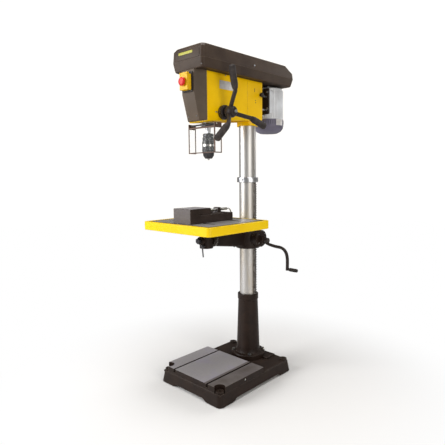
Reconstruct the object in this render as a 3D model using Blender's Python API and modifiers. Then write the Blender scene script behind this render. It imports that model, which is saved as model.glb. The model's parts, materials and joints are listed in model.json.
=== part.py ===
"""A floor-standing drill press with a belt-driven head, a crank-lifted table and a vise on the table.

Every length is in metres. The model is laid out about the column: the column's axis is x = 0, y = 0, the
floor is z = 0, the front is -Y and the operator's right hand is +X. The last step moves the whole machine
so that its origin is at the middle of its footprint.
"""

import math

import bmesh
import bpy
from mathutils import Matrix, Vector

GAP = 0.0003  # between pieces that touch or run on each other
SLACK = 0.0004  # a gear tooth's clearance on each side

# Base
BASE_WIDTH, BASE_DEPTH, BASE_HEIGHT = 0.439, 0.575, 0.065
BASE_REAR = 0.112  # from the column's axis to the base's rear edge
BASE_DRAFT = 0.009
PAD_WIDTH, PAD_TOP = 0.418, 0.092
PAD_REAR = -0.121
PAD_SETBACK = 0.012  # from the base's front edge
PAD_SLOT_X, PAD_SLOT_WIDTH, PAD_SLOT_DEPTH = 0.120, 0.010, 0.012
BASE_WALL = 0.016
FOOT_LENGTH, FOOT_RISE = 0.090, 0.016
BOSS_RADIUS, BOSS_INSET, BOSS_NOTCH = 0.021, 0.033, 0.027
ANCHOR_HOLE_RADIUS = 0.007
STEP_RIGHT, STEP_REAR, STEP_RISE = 0.124, 0.090, 0.010

# Column
COLUMN_RADIUS, COLUMN_WALL = 0.046, 0.005
COLUMN_BOTTOM, COLUMN_TOP = 0.090, 1.555
FLANGE_RADIUS, FLANGE_THICKNESS = COLUMN_RADIUS + 0.049, 0.032
FLANGE_BOLT_RADIUS, FLANGE_BOLT_HEAD = 0.009, 0.008
FLANGE_BOLT_PLACE = (FLANGE_RADIUS - 0.0118) / math.sqrt(2)  # along X and along Y
PEDESTAL_TOP = 0.430
PEDESTAL_FOOT_RADIUS, PEDESTAL_NECK_RADIUS = COLUMN_RADIUS + 0.022, COLUMN_RADIUS + 0.012
COLLAR_BOTTOM, COLLAR_HEIGHT, COLLAR_RADIUS = 1.052, 0.028, COLUMN_RADIUS + 0.012

# Lifting gear
RACK_MODULE, RACK_WIDTH, RACK_BACK = 0.003, 0.018, 0.005
LIFT_TEETH = 12
WORM_RADIUS, WORM_HEIGHT = 0.0085, 0.740
HOUSING_HEIGHT, HOUSING_WALL, HOUSING_NOSE_RADIUS = 0.748, 0.0023, 0.021
CRANK_BOSS_RADIUS, CRANK_BOSS_LENGTH = 0.015, 0.024
CRANK_BAR_RADIUS, CRANK_THROW, CRANK_REACH = 0.0085, 0.138, 0.268
CRANK_GRIP_RADIUS, CRANK_GRIP_LENGTH = 0.009, 0.054

# Table bracket and table
BRACKET_BOTTOM, BRACKET_TOP, BRACKET_RADIUS = 0.690, 0.790, COLUMN_RADIUS + 0.022
ARM_HALF_WIDTH, ARM_FACE = 0.030, -0.290
TILT_HEIGHT, TILT_FLANGE_RADIUS, TILT_FLANGE_THICKNESS = 0.768, 0.040, 0.014
TILT_BOLT_RADIUS, TILT_BOLT_HEAD = 0.008, 0.015
TABLE_BOSS_Y, TABLE_BOSS_RADIUS, TABLE_BOSS_BOTTOM = -0.324, 0.034, 0.727
TABLE_WIDTH, TABLE_DEPTH, TABLE_THICKNESS, TABLE_TOP = 0.473, 0.433, 0.041, 0.865
TABLE_REAR, TABLE_CORNER = -0.105, 0.022
TABLE_PLATE, TABLE_RIB = 0.015, 0.012
TABLE_POST_RADIUS, TABLE_POST_LENGTH = 0.020, 0.040
CHANNEL_INSET, CHANNEL_WIDTH, CHANNEL_DEPTH = 0.020, 0.013, 0.005
TABLE_SLOT_WIDTH, TABLE_SLOT_LENGTH, TABLE_SLOT_SPREAD = 0.014, 0.300, 0.180

# Vise
VISE_X, VISE_WIDTH, VISE_FRONT, VISE_REAR = 0.0155, 0.121, -0.498, -0.207
VISE_BED, VISE_JAW_HEIGHT = 0.040, 0.071
FIXED_JAW_DEPTH, MOVING_JAW_DEPTH = 0.058, 0.078
NUT_BLOCK_FRONT, NUT_BLOCK_DEPTH = -0.272, 0.025
SCREW_RADIUS, SCREW_HEIGHT, SCREW_END = 0.007, 0.054, -0.190

# Head
HEAD_HALF_WIDTH, HEAD_FRONT, HEAD_REAR = 0.065, -0.369, 0.050
HEAD_TOP, HEAD_FRONT_BOTTOM, HEAD_REAR_BOTTOM = 1.5835, 1.347, 1.384
HEAD_WALL = 0.009
SOCKET_RADIUS, SOCKET_BOTTOM = COLUMN_RADIUS + 0.011, 1.353
CAVITY_FRONT, CAVITY_REAR = -0.232, -0.062
NOSE_WALL = 0.003
SPINDLE_Y = -0.300
QUILL_RADIUS, QUILL_BORE, QUILL_BOTTOM, QUILL_TOP = 0.028, 0.016, 1.330, 1.515
QUILL_FLAT = 0.001
FEED_MODULE, FEED_TEETH, FEED_HEIGHT = 0.002, 12, 1.396
FEED_STROKE = 0.120
FEED_SHAFT_RADIUS, FEED_PINION_HALF = 0.008, 0.011
SPINDLE_RADIUS, SLEEVE_RADIUS, SLEEVE_BOTTOM = 0.012, 0.022, 1.526
SPINDLE_TOP = 1.658

# Feed handle
DIAL_RADIUS, DIAL_WIDTH = 0.035, 0.025
HUB_RADIUS, HUB_LENGTH = 0.029, 0.056
FEED_ARM_ANGLE = math.radians(13)  # from straight up towards the front
FEED_ARM_RADIUS, ELBOW_RADIUS, ELBOW_X = 0.0105, 0.095, 0.168
FEED_GRIP_RADIUS, FEED_GRIP_START, FEED_GRIP_END = 0.0165, 0.098, 0.208
SPRING_CAP_RADIUS, SPRING_CAP_WIDTH = 0.033, 0.026

# Chuck and guard
CHUCK_TOP, CHUCK_BOTTOM = 1.297, 1.175
ARBOR_RADIUS, ARBOR_DEPTH = 0.008, 0.034
CHUCK_SLEEVE_RADIUS, CHUCK_CORE_RADIUS = 0.031, 0.025
CHUCK_SLEEVE_BOTTOM, CHUCK_SLEEVE_TOP = 1.204, 1.262
JAW_MOUTH_RADIUS, JAW_TILT, JAW_TRAVEL = 0.0062, math.radians(15), 0.022
JAW_HALF_WIDTH, JAW_BOTTOM, JAW_TOP = 0.0022, 1.168, 1.209
GUARD_RING_RADIUS, GUARD_RING_HEIGHT = 0.034, 0.016
GUARD_HALF_WIDTH, GUARD_FRONT, GUARD_BACK = 0.092, -0.349, -0.300
GUARD_BOTTOM, GUARD_HINGE_Y, GUARD_HINGE_Z = 1.200, -0.337, 1.338
GUARD_STRIP, GUARD_PANE, GUARD_EDGE = 0.0025, 0.002, 0.005

# Belt cover and drive
COVER_BOTTOM, COVER_SPLIT, COVER_TOP = 1.584, 1.626, 1.691
COVER_HALF_WIDTH, COVER_FRONT, COVER_BACK = 0.1085, -0.436, 0.283
COVER_WALL, COVER_CORNER = 0.003, 0.020
COVER_HINGE_X, HINGE_PIN_RADIUS = -0.1155, 0.003
IDLER_Y, MOTOR_Y, IDLER_PIVOT_Y = -0.075, 0.188, -0.130
PULLEY_BOTTOM, PULLEY_STEP = 1.600, 0.016
SPINDLE_STEPS = (0.082, 0.072, 0.062, 0.052)
IDLER_STEPS = (0.040, 0.050, 0.060, 0.070)
MOTOR_STEPS = (0.068, 0.061, 0.054, 0.047)
GROOVE_DEPTH, BELT_HALF_HEIGHT = 0.007, 0.0036
FRONT_BELT_STEP, REAR_BELT_STEP = 1, 2
AXLE_RADIUS = 0.009
ROD_RADIUS, ROD_X, ROD_HEIGHTS = 0.0055, 0.054, (1.515, 1.445)
MOUNT_FRONT, MOUNT_THICKNESS, MOUNT_HALF_WIDTH = 0.094, 0.009, 0.072
MOTOR_RADIUS, MOTOR_BOTTOM, MOTOR_TOP = 0.078, 1.385, 1.572
FAN_COVER_RADIUS, FAN_COVER_BOTTOM, FAN_COVER_TOP = 0.084, 1.327, 1.402
KNOB_RADIUS, KNOB_Y = 0.011, 0.028

# Switch
SWITCH_HALF_WIDTH, SWITCH_BOTTOM, SWITCH_TOP = 0.027, 1.489, 1.562
SWITCH_FRONT, FLAP_THICKNESS = -0.459, 0.006
NOSE_FRONT = -0.430
MUSHROOM_RADIUS, MUSHROOM_TRAVEL, MUSHROOM_LENGTH = 0.020, 0.005, 0.018
FLAP_PIN_HEIGHT, START_HEIGHT = SWITCH_TOP + 0.003, SWITCH_TOP - 0.016

# Worked out from the sizes above
FEED_PITCH_RADIUS = FEED_MODULE * FEED_TEETH / 2
RACK_PITCH_Y = SPINDLE_Y + QUILL_RADIUS - QUILL_FLAT - FEED_MODULE
FEED_Y = RACK_PITCH_Y + FEED_PITCH_RADIUS
LIFT_PITCH_RADIUS = RACK_MODULE * LIFT_TEETH / 2
RACK_X = COLUMN_RADIUS + 2 * GAP
RACK_PITCH_X = RACK_X + RACK_BACK + 1.2 * RACK_MODULE
RACK_TIP_X = RACK_PITCH_X + RACK_MODULE
LIFT_X = RACK_PITCH_X + LIFT_PITCH_RADIUS
LIFT_Z = WORM_HEIGHT + WORM_RADIUS + 2 * GAP + LIFT_PITCH_RADIUS + RACK_MODULE
LIFT_ROOM = LIFT_PITCH_RADIUS + RACK_MODULE + 0.0006
HOUSING_RADIUS = LIFT_Z + LIFT_ROOM + HOUSING_WALL - HOUSING_HEIGHT
HOUSING_END = LIFT_X + LIFT_ROOM + 0.0012
HOUSING_NOSE_END = HOUSING_END + 0.024
BASE_FRONT = BASE_REAR - BASE_DEPTH
PAD_FRONT = BASE_FRONT + PAD_SETBACK
TABLE_BOTTOM = TABLE_TOP - TABLE_THICKNESS
TABLE_Y = TABLE_REAR - TABLE_DEPTH / 2
GUARD_RING_BOTTOM = QUILL_BOTTOM
HUB_START = HEAD_HALF_WIDTH + DIAL_WIDTH + 2 * GAP
VISE_BOTTOM = TABLE_TOP + GAP

COLOURS = {  # base colour, roughness, metallic
    "dark_casting": ((0.045, 0.035, 0.030), 0.55, 0.1),
    "yellow_paint": ((0.80, 0.55, 0.01), 0.35, 0.0),
    "ground_steel": ((0.70, 0.70, 0.70), 0.22, 1.0),
    "machined_iron": ((0.32, 0.30, 0.30), 0.45, 0.8),
    "black_plastic": ((0.035, 0.028, 0.025), 0.50, 0.0),
    "grey_plastic": ((0.10, 0.085, 0.075), 0.55, 0.0),
    "black_rubber": ((0.020, 0.018, 0.020), 0.65, 0.0),
    "black_oxide": ((0.05, 0.05, 0.055), 0.35, 0.8),
    "motor_alloy": ((0.60, 0.61, 0.64), 0.40, 0.7),
    "bolt_steel": ((0.60, 0.58, 0.55), 0.30, 1.0),
    "clear_plastic": ((0.85, 0.90, 0.90), 0.05, 0.0),
    "red_plastic": ((0.75, 0.03, 0.03), 0.30, 0.0),
    "green_plastic": ((0.02, 0.35, 0.06), 0.35, 0.0),
    "belt_rubber": ((0.03, 0.03, 0.03), 0.80, 0.0),
}

for old in list(bpy.data.objects):
    bpy.data.objects.remove(old, do_unlink=True)

parts = bpy.data.collections.new("drill_press")
cutters = bpy.data.collections.new("cutters")
for collection in (parts, cutters):
    bpy.context.scene.collection.children.link(collection)


def make_material(name):
    colour, roughness, metallic = COLOURS[name]
    material = bpy.data.materials.new(name)
    material.use_nodes = True
    shader = material.node_tree.nodes["Principled BSDF"]
    shader.inputs["Base Color"].default_value = (*colour, 1.0)
    shader.inputs["Roughness"].default_value = roughness
    shader.inputs["Metallic"].default_value = metallic
    return material


MATERIALS = {name: make_material(name) for name in COLOURS}

# ---- shapes: each makes a loose object, which is then finished as a part or as a cutter ----

AXES = {  # turns a shape drawn with its length along Z
    "X": Matrix(((0, 0, 1), (1, 0, 0), (0, 1, 0))).to_4x4(),
    "Y": Matrix(((1, 0, 0), (0, 0, -1), (0, 1, 0))).to_4x4(),
    "Z": Matrix.Identity(4),
}


def loose(mesh, location=(0, 0, 0)):
    shape = bpy.data.objects.new("shape", mesh)
    shape.location = location
    parts.objects.link(shape)
    return shape


def from_bmesh(bm, location=(0, 0, 0)):
    bmesh.ops.recalc_face_normals(bm, faces=bm.faces)
    mesh = bpy.data.meshes.new("shape")
    bm.to_mesh(mesh)
    bm.free()
    return loose(mesh, location)


def block(low, high):
    """A box between two corners."""
    low, high = Vector(low), Vector(high)
    bm = bmesh.new()
    bmesh.ops.create_cube(bm, size=1, matrix=Matrix.Diagonal((*(high - low), 1)))
    return from_bmesh(bm, (low + high) / 2)


def cylinder(radius, start, end, axis, at, sides=24, end_radius=None):
    """A cylinder or cone along an axis from start to end; at holds its other two coordinates."""
    length = end - start
    bm = bmesh.new()
    tip = radius if end_radius is None else end_radius
    bmesh.ops.create_cone(bm, cap_ends=True, segments=sides, radius1=radius, radius2=tip, depth=length)
    turn = {"X": Matrix.Rotation(math.pi / 2, 4, "Y"), "Y": Matrix.Rotation(-math.pi / 2, 4, "X")}
    bmesh.ops.transform(bm, matrix=turn.get(axis, Matrix.Identity(4)), verts=bm.verts)
    middle = (start + end) / 2
    centre = {"X": (middle, *at), "Y": (at[0], middle, at[1]), "Z": (*at, middle)}[axis]
    return from_bmesh(bm, centre)


def to_mesh(curve_object):
    """The evaluated curve as a mesh object with its caps welded on."""
    depsgraph = bpy.context.evaluated_depsgraph_get()
    mesh = bpy.data.meshes.new_from_object(curve_object.evaluated_get(depsgraph))
    bm = bmesh.new()
    bm.from_mesh(mesh)
    bmesh.ops.remove_doubles(bm, verts=bm.verts, dist=1e-6)
    bmesh.ops.recalc_face_normals(bm, faces=bm.faces)
    bm.to_mesh(mesh)
    bm.free()
    shape = loose(mesh)
    shape.matrix_world = curve_object.matrix_world
    bpy.data.objects.remove(curve_object)
    return shape


def prism(outlines, axis, start, end):
    """Flat outlines of (u, v) points pushed along an axis. Along X they are (y, z), along Y (x, z), along Z
    (x, y). A second outline inside the first is a hole."""
    bm = bmesh.new()
    half = (end - start) / 2
    loops = []
    for outline in outlines:
        loops.append([[bm.verts.new((u, v, side)) for u, v in outline] for side in (-half, half)])
    for low, high in loops:
        for k in range(len(low)):
            after = (k + 1) % len(low)
            bm.faces.new((low[k], low[after], high[after], high[k]))
    for side in (0, 1):
        if len(loops) == 1:
            bm.faces.new(loops[0][side])
        else:
            rims = [edge for loop in loops for edge in bm.edges
                    if edge.verts[0] in loop[side] and edge.verts[1] in loop[side]]
            bmesh.ops.triangle_fill(bm, use_beauty=True, edges=rims)
    bm.transform(AXES[axis])
    middle = {"X": (1, 0, 0), "Y": (0, 1, 0), "Z": (0, 0, 1)}[axis]
    return from_bmesh(bm, Vector(middle) * (start + end) / 2)


def tube(points, radius, resolution=2):
    """A round bar along a list of points."""
    curve = bpy.data.curves.new("bar", "CURVE")
    curve.dimensions = "3D"
    curve.bevel_depth = radius
    curve.bevel_resolution = resolution
    curve.use_fill_caps = True
    spline = curve.splines.new("POLY")
    spline.points.add(len(points) - 1)
    for point, place in zip(spline.points, points):
        point.co = (*place, 1)
    drawn = bpy.data.objects.new("bar", curve)
    parts.objects.link(drawn)
    return to_mesh(drawn)


def turned(profile, axis, at, steps=28, closed=False):
    """A profile of (radius, height) points turned about an axis. A stretch along the axis makes no face."""
    mesh = bpy.data.meshes.new("profile")
    links = [(i, i + 1) for i in range(len(profile) - 1)]
    if closed:
        links.append((len(profile) - 1, 0))
    off_axis = [(a, b) for a, b in links if profile[a][0] or profile[b][0]]
    mesh.from_pydata([(r, 0, z) for r, z in profile], off_axis, [])
    shape = loose(mesh, {"X": (0, *at), "Y": (at[0], 0, at[1]), "Z": (*at, 0)}[axis])
    if axis == "X":
        shape.rotation_euler = (0, math.pi / 2, 0)
    elif axis == "Y":
        shape.rotation_euler = (-math.pi / 2, 0, 0)
    screw = shape.modifiers.new("turn", "SCREW")
    screw.axis = "Z"
    screw.steps = screw.render_steps = steps
    screw.use_merge_vertices = True
    screw.merge_threshold = 1e-5
    screw.use_smooth_shade = True
    return shape


def rounded(points, radius, steps=4):
    """The outline with each corner replaced by an arc. A list of radii gives each corner its own."""
    outline = []
    for i, corner in enumerate(points):
        bend = radius[i] if isinstance(radius, (list, tuple)) else radius
        corner = Vector(corner)
        if not bend:
            outline.append(tuple(corner))
            continue
        back = (Vector(points[i - 1]) - corner).normalized()
        ahead = (Vector(points[(i + 1) % len(points)]) - corner).normalized()
        half = back.angle(ahead) / 2
        centre = corner + (back + ahead).normalized() * bend / math.sin(half)
        first = corner + back * bend / math.tan(half) - centre
        last = corner + ahead * bend / math.tan(half) - centre
        start = math.atan2(first.y, first.x)
        sweep = (math.atan2(last.y, last.x) - start + math.pi) % (2 * math.pi) - math.pi
        for step in range(steps + 1):
            angle = start + sweep * step / steps
            outline.append((centre.x + bend * math.cos(angle), centre.y + bend * math.sin(angle)))
    return outline


def rectangle(low_u, high_u, low_v, high_v):
    return [(low_u, low_v), (high_u, low_v), (high_u, high_v), (low_u, high_v)]


def gear_outline(teeth, module, phase):
    """A straight-flanked gear with a tooth's middle at the phase angle."""
    pitch = module * teeth / 2
    half = module * math.pi / 4 - SLACK
    outline = []
    for k in range(teeth):
        middle = phase + 2 * math.pi * k / teeth
        for side, radius, width in ((-1, pitch - 1.2 * module, half + 0.35 * module),
                                    (-1, pitch + 0.9 * module, half - 0.45 * module),
                                    (1, pitch + 0.9 * module, half - 0.45 * module),
                                    (1, pitch - 1.2 * module, half + 0.35 * module)):
            angle = middle + side * width / radius
            outline.append((radius * math.cos(angle), radius * math.sin(angle)))
    return outline


def smooth_path(points, steps=4):
    """Points along a smooth curve through the given ones."""
    path = []
    ends = [points[0], *points, points[-1]]
    for p0, p1, p2, p3 in zip(ends, ends[1:], ends[2:], ends[3:]):
        p0, p1, p2, p3 = (Vector(p) for p in (p0, p1, p2, p3))
        for step in range(steps):
            t = step / steps
            path.append(0.5 * (2 * p1 + (p2 - p0) * t + (2 * p0 - 5 * p1 + 4 * p2 - p3) * t**2
                               + (3 * p1 - p0 - 3 * p2 + p3) * t**3))
    path.append(Vector(points[-1]))
    return path


# ---- modifiers ----


def bevel(shape, width, segments=2, angle=50):
    modifier = shape.modifiers.new("bevel", "BEVEL")
    modifier.width = width
    modifier.segments = segments
    modifier.limit_method = "ANGLE"
    modifier.angle_limit = math.radians(angle)
    return shape


def combine(shape, other, operation):
    """Cuts the other shape from this one, or joins it on."""
    modifier = shape.modifiers.new(operation.lower(), "BOOLEAN")
    modifier.operation = operation
    modifier.solver = "EXACT"
    modifier.object = other
    parts.objects.unlink(other)
    cutters.objects.link(other)
    other.name = "cutter"
    other.parent = machine
    other.hide_render = True
    other.display_type = "WIRE"
    return shape


def cut(shape, *others):
    for other in others:
        combine(shape, other, "DIFFERENCE")
    return shape


def join(shape, *others):
    for other in others:
        combine(shape, other, "UNION")
    return shape


# ---- joints: an empty on each joint's axis, with the moving pieces under it ----

machine = bpy.data.objects.new("machine", None)
parts.objects.link(machine)
PLACES = {"machine": Vector((0, 0, 0))}


def joint(name, place, parent="machine"):
    empty = bpy.data.objects.new(name, None)
    empty.empty_display_size = 0.05
    parts.objects.link(empty)
    empty.parent = bpy.data.objects[parent]
    empty.location = Vector(place) - PLACES[parent]
    PLACES[name] = Vector(place)


def part(name, shape, material, carrier="machine"):
    """Names a finished shape, gives it its material and hangs it on its joint's empty."""
    shape.name = shape.data.name = name
    shape.data.materials.clear()
    shape.data.materials.append(MATERIALS[material])
    for modifier in shape.modifiers:
        if modifier.type == "BOOLEAN":
            modifier.object.name = name + "_cutter"
    if len(shape.data.polygons) > 12:
        shape.data.shade_smooth()
        shape.data.set_sharp_from_angle(angle=math.radians(35))
    shape.parent = bpy.data.objects[carrier]
    shape.location = Vector(shape.location) - PLACES[carrier]
    return shape


joint("lid_hinge", (COVER_HINGE_X, 0, COVER_SPLIT))
joint("flap_hinge", (0, SWITCH_FRONT + FLAP_THICKNESS / 2, FLAP_PIN_HEIGHT))
joint("stop_press", (0, SWITCH_FRONT, (SWITCH_BOTTOM + SWITCH_TOP) / 2), "flap_hinge")
joint("start_press", (0, SWITCH_FRONT, START_HEIGHT))
joint("feed_turn", (0, FEED_Y, FEED_HEIGHT))
joint("quill_slide", (0, SPINDLE_Y, QUILL_BOTTOM))
joint("spindle_spin", (0, SPINDLE_Y, CHUCK_TOP), "quill_slide")
joint("chuck_twist", (0, SPINDLE_Y, CHUCK_SLEEVE_BOTTOM), "spindle_spin")
for jaw in range(3):
    joint(f"jaw_slide_{jaw + 1}", (0, SPINDLE_Y, JAW_BOTTOM), "spindle_spin")
joint("guard_flip", (0, GUARD_HINGE_Y, GUARD_HINGE_Z), "quill_slide")
joint("spindle_pulley_spin", (0, SPINDLE_Y, PULLEY_BOTTOM))
joint("idler_swing", (0, IDLER_PIVOT_Y, PULLEY_BOTTOM))
joint("idler_spin", (0, IDLER_Y, PULLEY_BOTTOM), "idler_swing")
joint("motor_slide", (0, MOUNT_FRONT, ROD_HEIGHTS[0]))
joint("motor_spin", (0, MOTOR_Y, PULLEY_BOTTOM), "motor_slide")
joint("knob_turn", (HEAD_HALF_WIDTH, KNOB_Y, ROD_HEIGHTS[0]))
joint("table_swing", (0, 0, PEDESTAL_TOP))
joint("table_lift", (0, 0, BRACKET_BOTTOM), "table_swing")
joint("pinion_turn", (LIFT_X, 0, LIFT_Z), "table_lift")
joint("crank_turn", (HOUSING_NOSE_END, 0, WORM_HEIGHT), "table_lift")
joint("crank_grip_spin", (CRANK_REACH, 0, WORM_HEIGHT - CRANK_THROW), "crank_turn")
joint("table_tilt", (0, ARM_FACE, TILT_HEIGHT), "table_lift")
joint("table_turn", (0, TABLE_BOSS_Y, TABLE_BOTTOM), "table_tilt")
joint("vise_slide", (VISE_X, VISE_FRONT + FIXED_JAW_DEPTH, VISE_BOTTOM + SCREW_HEIGHT), "table_turn")
joint("vise_screw_turn", (VISE_X, SCREW_END, VISE_BOTTOM + SCREW_HEIGHT), "vise_slide")


# ---- base and column ----


def make_base():
    bm = bmesh.new()
    bmesh.ops.create_cube(bm, size=1, matrix=Matrix.Diagonal((BASE_WIDTH, BASE_DEPTH, BASE_HEIGHT, 1)))
    for vert in bm.verts:
        if vert.co.z > 0:
            vert.co.x -= math.copysign(BASE_DRAFT, vert.co.x)
            vert.co.y -= math.copysign(BASE_DRAFT, vert.co.y)
    upright = [edge for edge in bm.edges if abs(edge.verts[0].co.z - edge.verts[1].co.z) > BASE_HEIGHT / 2]
    bmesh.ops.bevel(bm, geom=upright, offset=0.024, segments=4, profile=0.5, affect="EDGES")
    base = from_bmesh(bm, (0, BASE_FRONT + BASE_DEPTH / 2, BASE_HEIGHT / 2))
    bevel(base, 0.004, 1, 60)
    half = PAD_WIDTH / 2
    outline = rounded(rectangle(-half, half, PAD_FRONT, PAD_REAR), 0.004, 2)
    join(base, prism([outline], "Z", BASE_HEIGHT - 0.010, PAD_TOP))
    boss_x = BASE_WIDTH / 2 - BOSS_INSET
    boss_rows = (BASE_FRONT + BOSS_INSET, BASE_REAR - BOSS_INSET)
    for x in (-boss_x, boss_x):
        cut(base, cylinder(BOSS_NOTCH, BASE_HEIGHT - 0.003, PAD_TOP + 0.01, "Z", (x, boss_rows[0]), 24))
        edge = math.copysign(BASE_WIDTH / 2 + 0.01, x)
        cut(base, block((min(x, edge), BASE_FRONT - 0.01, BASE_HEIGHT - 0.0035),
                        (max(x, edge), boss_rows[0], PAD_TOP + 0.012)))
        for y in boss_rows:
            join(base, cylinder(BOSS_RADIUS, BASE_HEIGHT - 0.010, BASE_HEIGHT + 0.007, "Z", (x, y), 24))
    step = block((0.050, 0.012, BASE_HEIGHT - 0.004), (STEP_RIGHT, STEP_REAR, BASE_HEIGHT + STEP_RISE))
    join(base, bevel(step, 0.002, 1, 60))
    cut(base, cylinder(FLANGE_RADIUS + 0.001, BASE_HEIGHT, PAD_TOP + 0.02, "Z", (0, 0), 32))
    inside = BASE_WALL + BASE_DRAFT
    cut(base, block((-BASE_WIDTH / 2 + inside, BASE_FRONT + inside, -0.01),
                    (BASE_WIDTH / 2 - inside, BASE_REAR - inside, BASE_HEIGHT - BASE_WALL)))
    for x in (-boss_x, boss_x):
        for y in boss_rows:
            cut(base, cylinder(ANCHOR_HOLE_RADIUS, -0.02, BASE_HEIGHT + 0.02, "Z", (x, y), 16))
    for x in (-PAD_SLOT_X, PAD_SLOT_X):
        wide = PAD_SLOT_WIDTH / 2
        cut(base, block((x - wide, PAD_FRONT - 0.01, PAD_TOP - PAD_SLOT_DEPTH),
                        (x + wide, PAD_REAR + 0.01, PAD_TOP + 0.01)))
        cut(base, block((x - 2 * wide, PAD_FRONT - 0.01, PAD_TOP - PAD_SLOT_DEPTH - 0.006),
                        (x + 2 * wide, PAD_REAR + 0.01, PAD_TOP - PAD_SLOT_DEPTH + 0.001)))
    for span, axis in ((BASE_WIDTH, "Y"), (BASE_DEPTH, "X")):
        middle = 0 if axis == "Y" else BASE_FRONT + BASE_DEPTH / 2
        reach = span / 2 - FOOT_LENGTH
        arch = [(middle - reach, -0.01), (middle + reach, -0.01), (middle + reach, 0),
                (middle + reach - 2 * FOOT_RISE, FOOT_RISE), (middle - reach + 2 * FOOT_RISE, FOOT_RISE),
                (middle - reach, 0)]
        ends = (BASE_FRONT - 0.01, BASE_REAR + 0.01) if axis == "Y" else (-BASE_WIDTH, BASE_WIDTH)
        cut(base, prism([arch], axis, *ends))
    part("base_casting", base, "dark_casting")


def make_pedestal():
    flange_top = BASE_HEIGHT + GAP + FLANGE_THICKNESS
    bore = COLUMN_RADIUS + GAP
    profile = [(bore, PEDESTAL_TOP), (PEDESTAL_NECK_RADIUS - 0.002, PEDESTAL_TOP),
               (PEDESTAL_NECK_RADIUS, PEDESTAL_TOP - 0.003),
               (PEDESTAL_NECK_RADIUS, PEDESTAL_TOP - 0.030),
               (PEDESTAL_NECK_RADIUS - 0.003, PEDESTAL_TOP - 0.034),
               (PEDESTAL_FOOT_RADIUS - 0.003, flange_top + 0.020), (PEDESTAL_FOOT_RADIUS + 0.006, flange_top),
               (FLANGE_RADIUS - 0.003, flange_top - 0.003), (FLANGE_RADIUS, flange_top - 0.007),
               (FLANGE_RADIUS, BASE_HEIGHT + GAP), (bore, BASE_HEIGHT + GAP)]
    pedestal = turned(profile, "Z", (0, 0), 32, closed=True)
    seat = flange_top - 0.002
    for k, (right, rear) in enumerate(((1, 1), (-1, 1), (1, -1), (-1, -1))):
        x, y = right * FLANGE_BOLT_PLACE, rear * FLANGE_BOLT_PLACE
        cut(pedestal, cylinder(FLANGE_BOLT_RADIUS + 0.003, seat, seat + 0.030, "Z", (x, y), 24))
        cut(pedestal, cylinder(0.0053, BASE_HEIGHT - 0.01, seat + 0.01, "Z", (x, y), 16))
        stem = cylinder(0.005, BASE_HEIGHT + 2 * GAP, seat + 0.002, "Z", (x, y), 16)
        head = cylinder(FLANGE_BOLT_RADIUS, seat + GAP, seat + FLANGE_BOLT_HEAD + 0.002, "Z", (x, y), 6)
        part(f"pedestal_bolt_{k + 1}", join(head, stem), "bolt_steel")
    part("column_pedestal", pedestal, "dark_casting")


def make_column():
    inner = COLUMN_RADIUS - COLUMN_WALL
    profile = [(COLUMN_RADIUS - 0.001, COLUMN_TOP), (COLUMN_RADIUS, COLUMN_TOP - 0.001),
               (COLUMN_RADIUS, COLUMN_BOTTOM), (inner, COLUMN_BOTTOM), (inner, COLUMN_TOP)]
    part("column_tube", turned(profile, "Z", (0, 0), 40, closed=True), "ground_steel")
    top = COLLAR_BOTTOM + COLLAR_HEIGHT
    profile = [(COLUMN_RADIUS + GAP, top), (COLLAR_RADIUS - 0.002, top), (COLLAR_RADIUS, top - 0.002),
               (COLLAR_RADIUS, COLLAR_BOTTOM + 0.002), (COLLAR_RADIUS - 0.002, COLLAR_BOTTOM),
               (COLUMN_RADIUS + GAP, COLLAR_BOTTOM)]
    part("rack_collar", turned(profile, "Z", (0, 0), 32, closed=True), "ground_steel")


def make_rack():
    """The rack's gaps lie level with the lift pinion, which has a tooth pointing at it."""
    low, high = PEDESTAL_TOP + GAP, COLLAR_BOTTOM - GAP
    pitch = math.pi * RACK_MODULE
    half = pitch / 4 - SLACK
    root, tip = RACK_X + RACK_BACK, RACK_TIP_X
    outline = [(RACK_X, high), (RACK_X, low), (root, low)]
    for k in range(math.ceil((low - LIFT_Z) / pitch), math.floor((high - LIFT_Z) / pitch)):
        middle = LIFT_Z + (k + 0.5) * pitch
        if middle - pitch / 2 < low or middle + pitch / 2 > high:
            continue
        outline += [(root, middle - half - 0.35 * RACK_MODULE), (tip, middle - half + 0.36 * RACK_MODULE),
                    (tip, middle + half - 0.36 * RACK_MODULE), (root, middle + half + 0.35 * RACK_MODULE)]
    outline.append((root, high))
    part("lift_rack", prism([outline], "Y", -RACK_WIDTH / 2, RACK_WIDTH / 2), "machined_iron", "table_swing")


# ---- table bracket, lifting gear and crank ----


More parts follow.
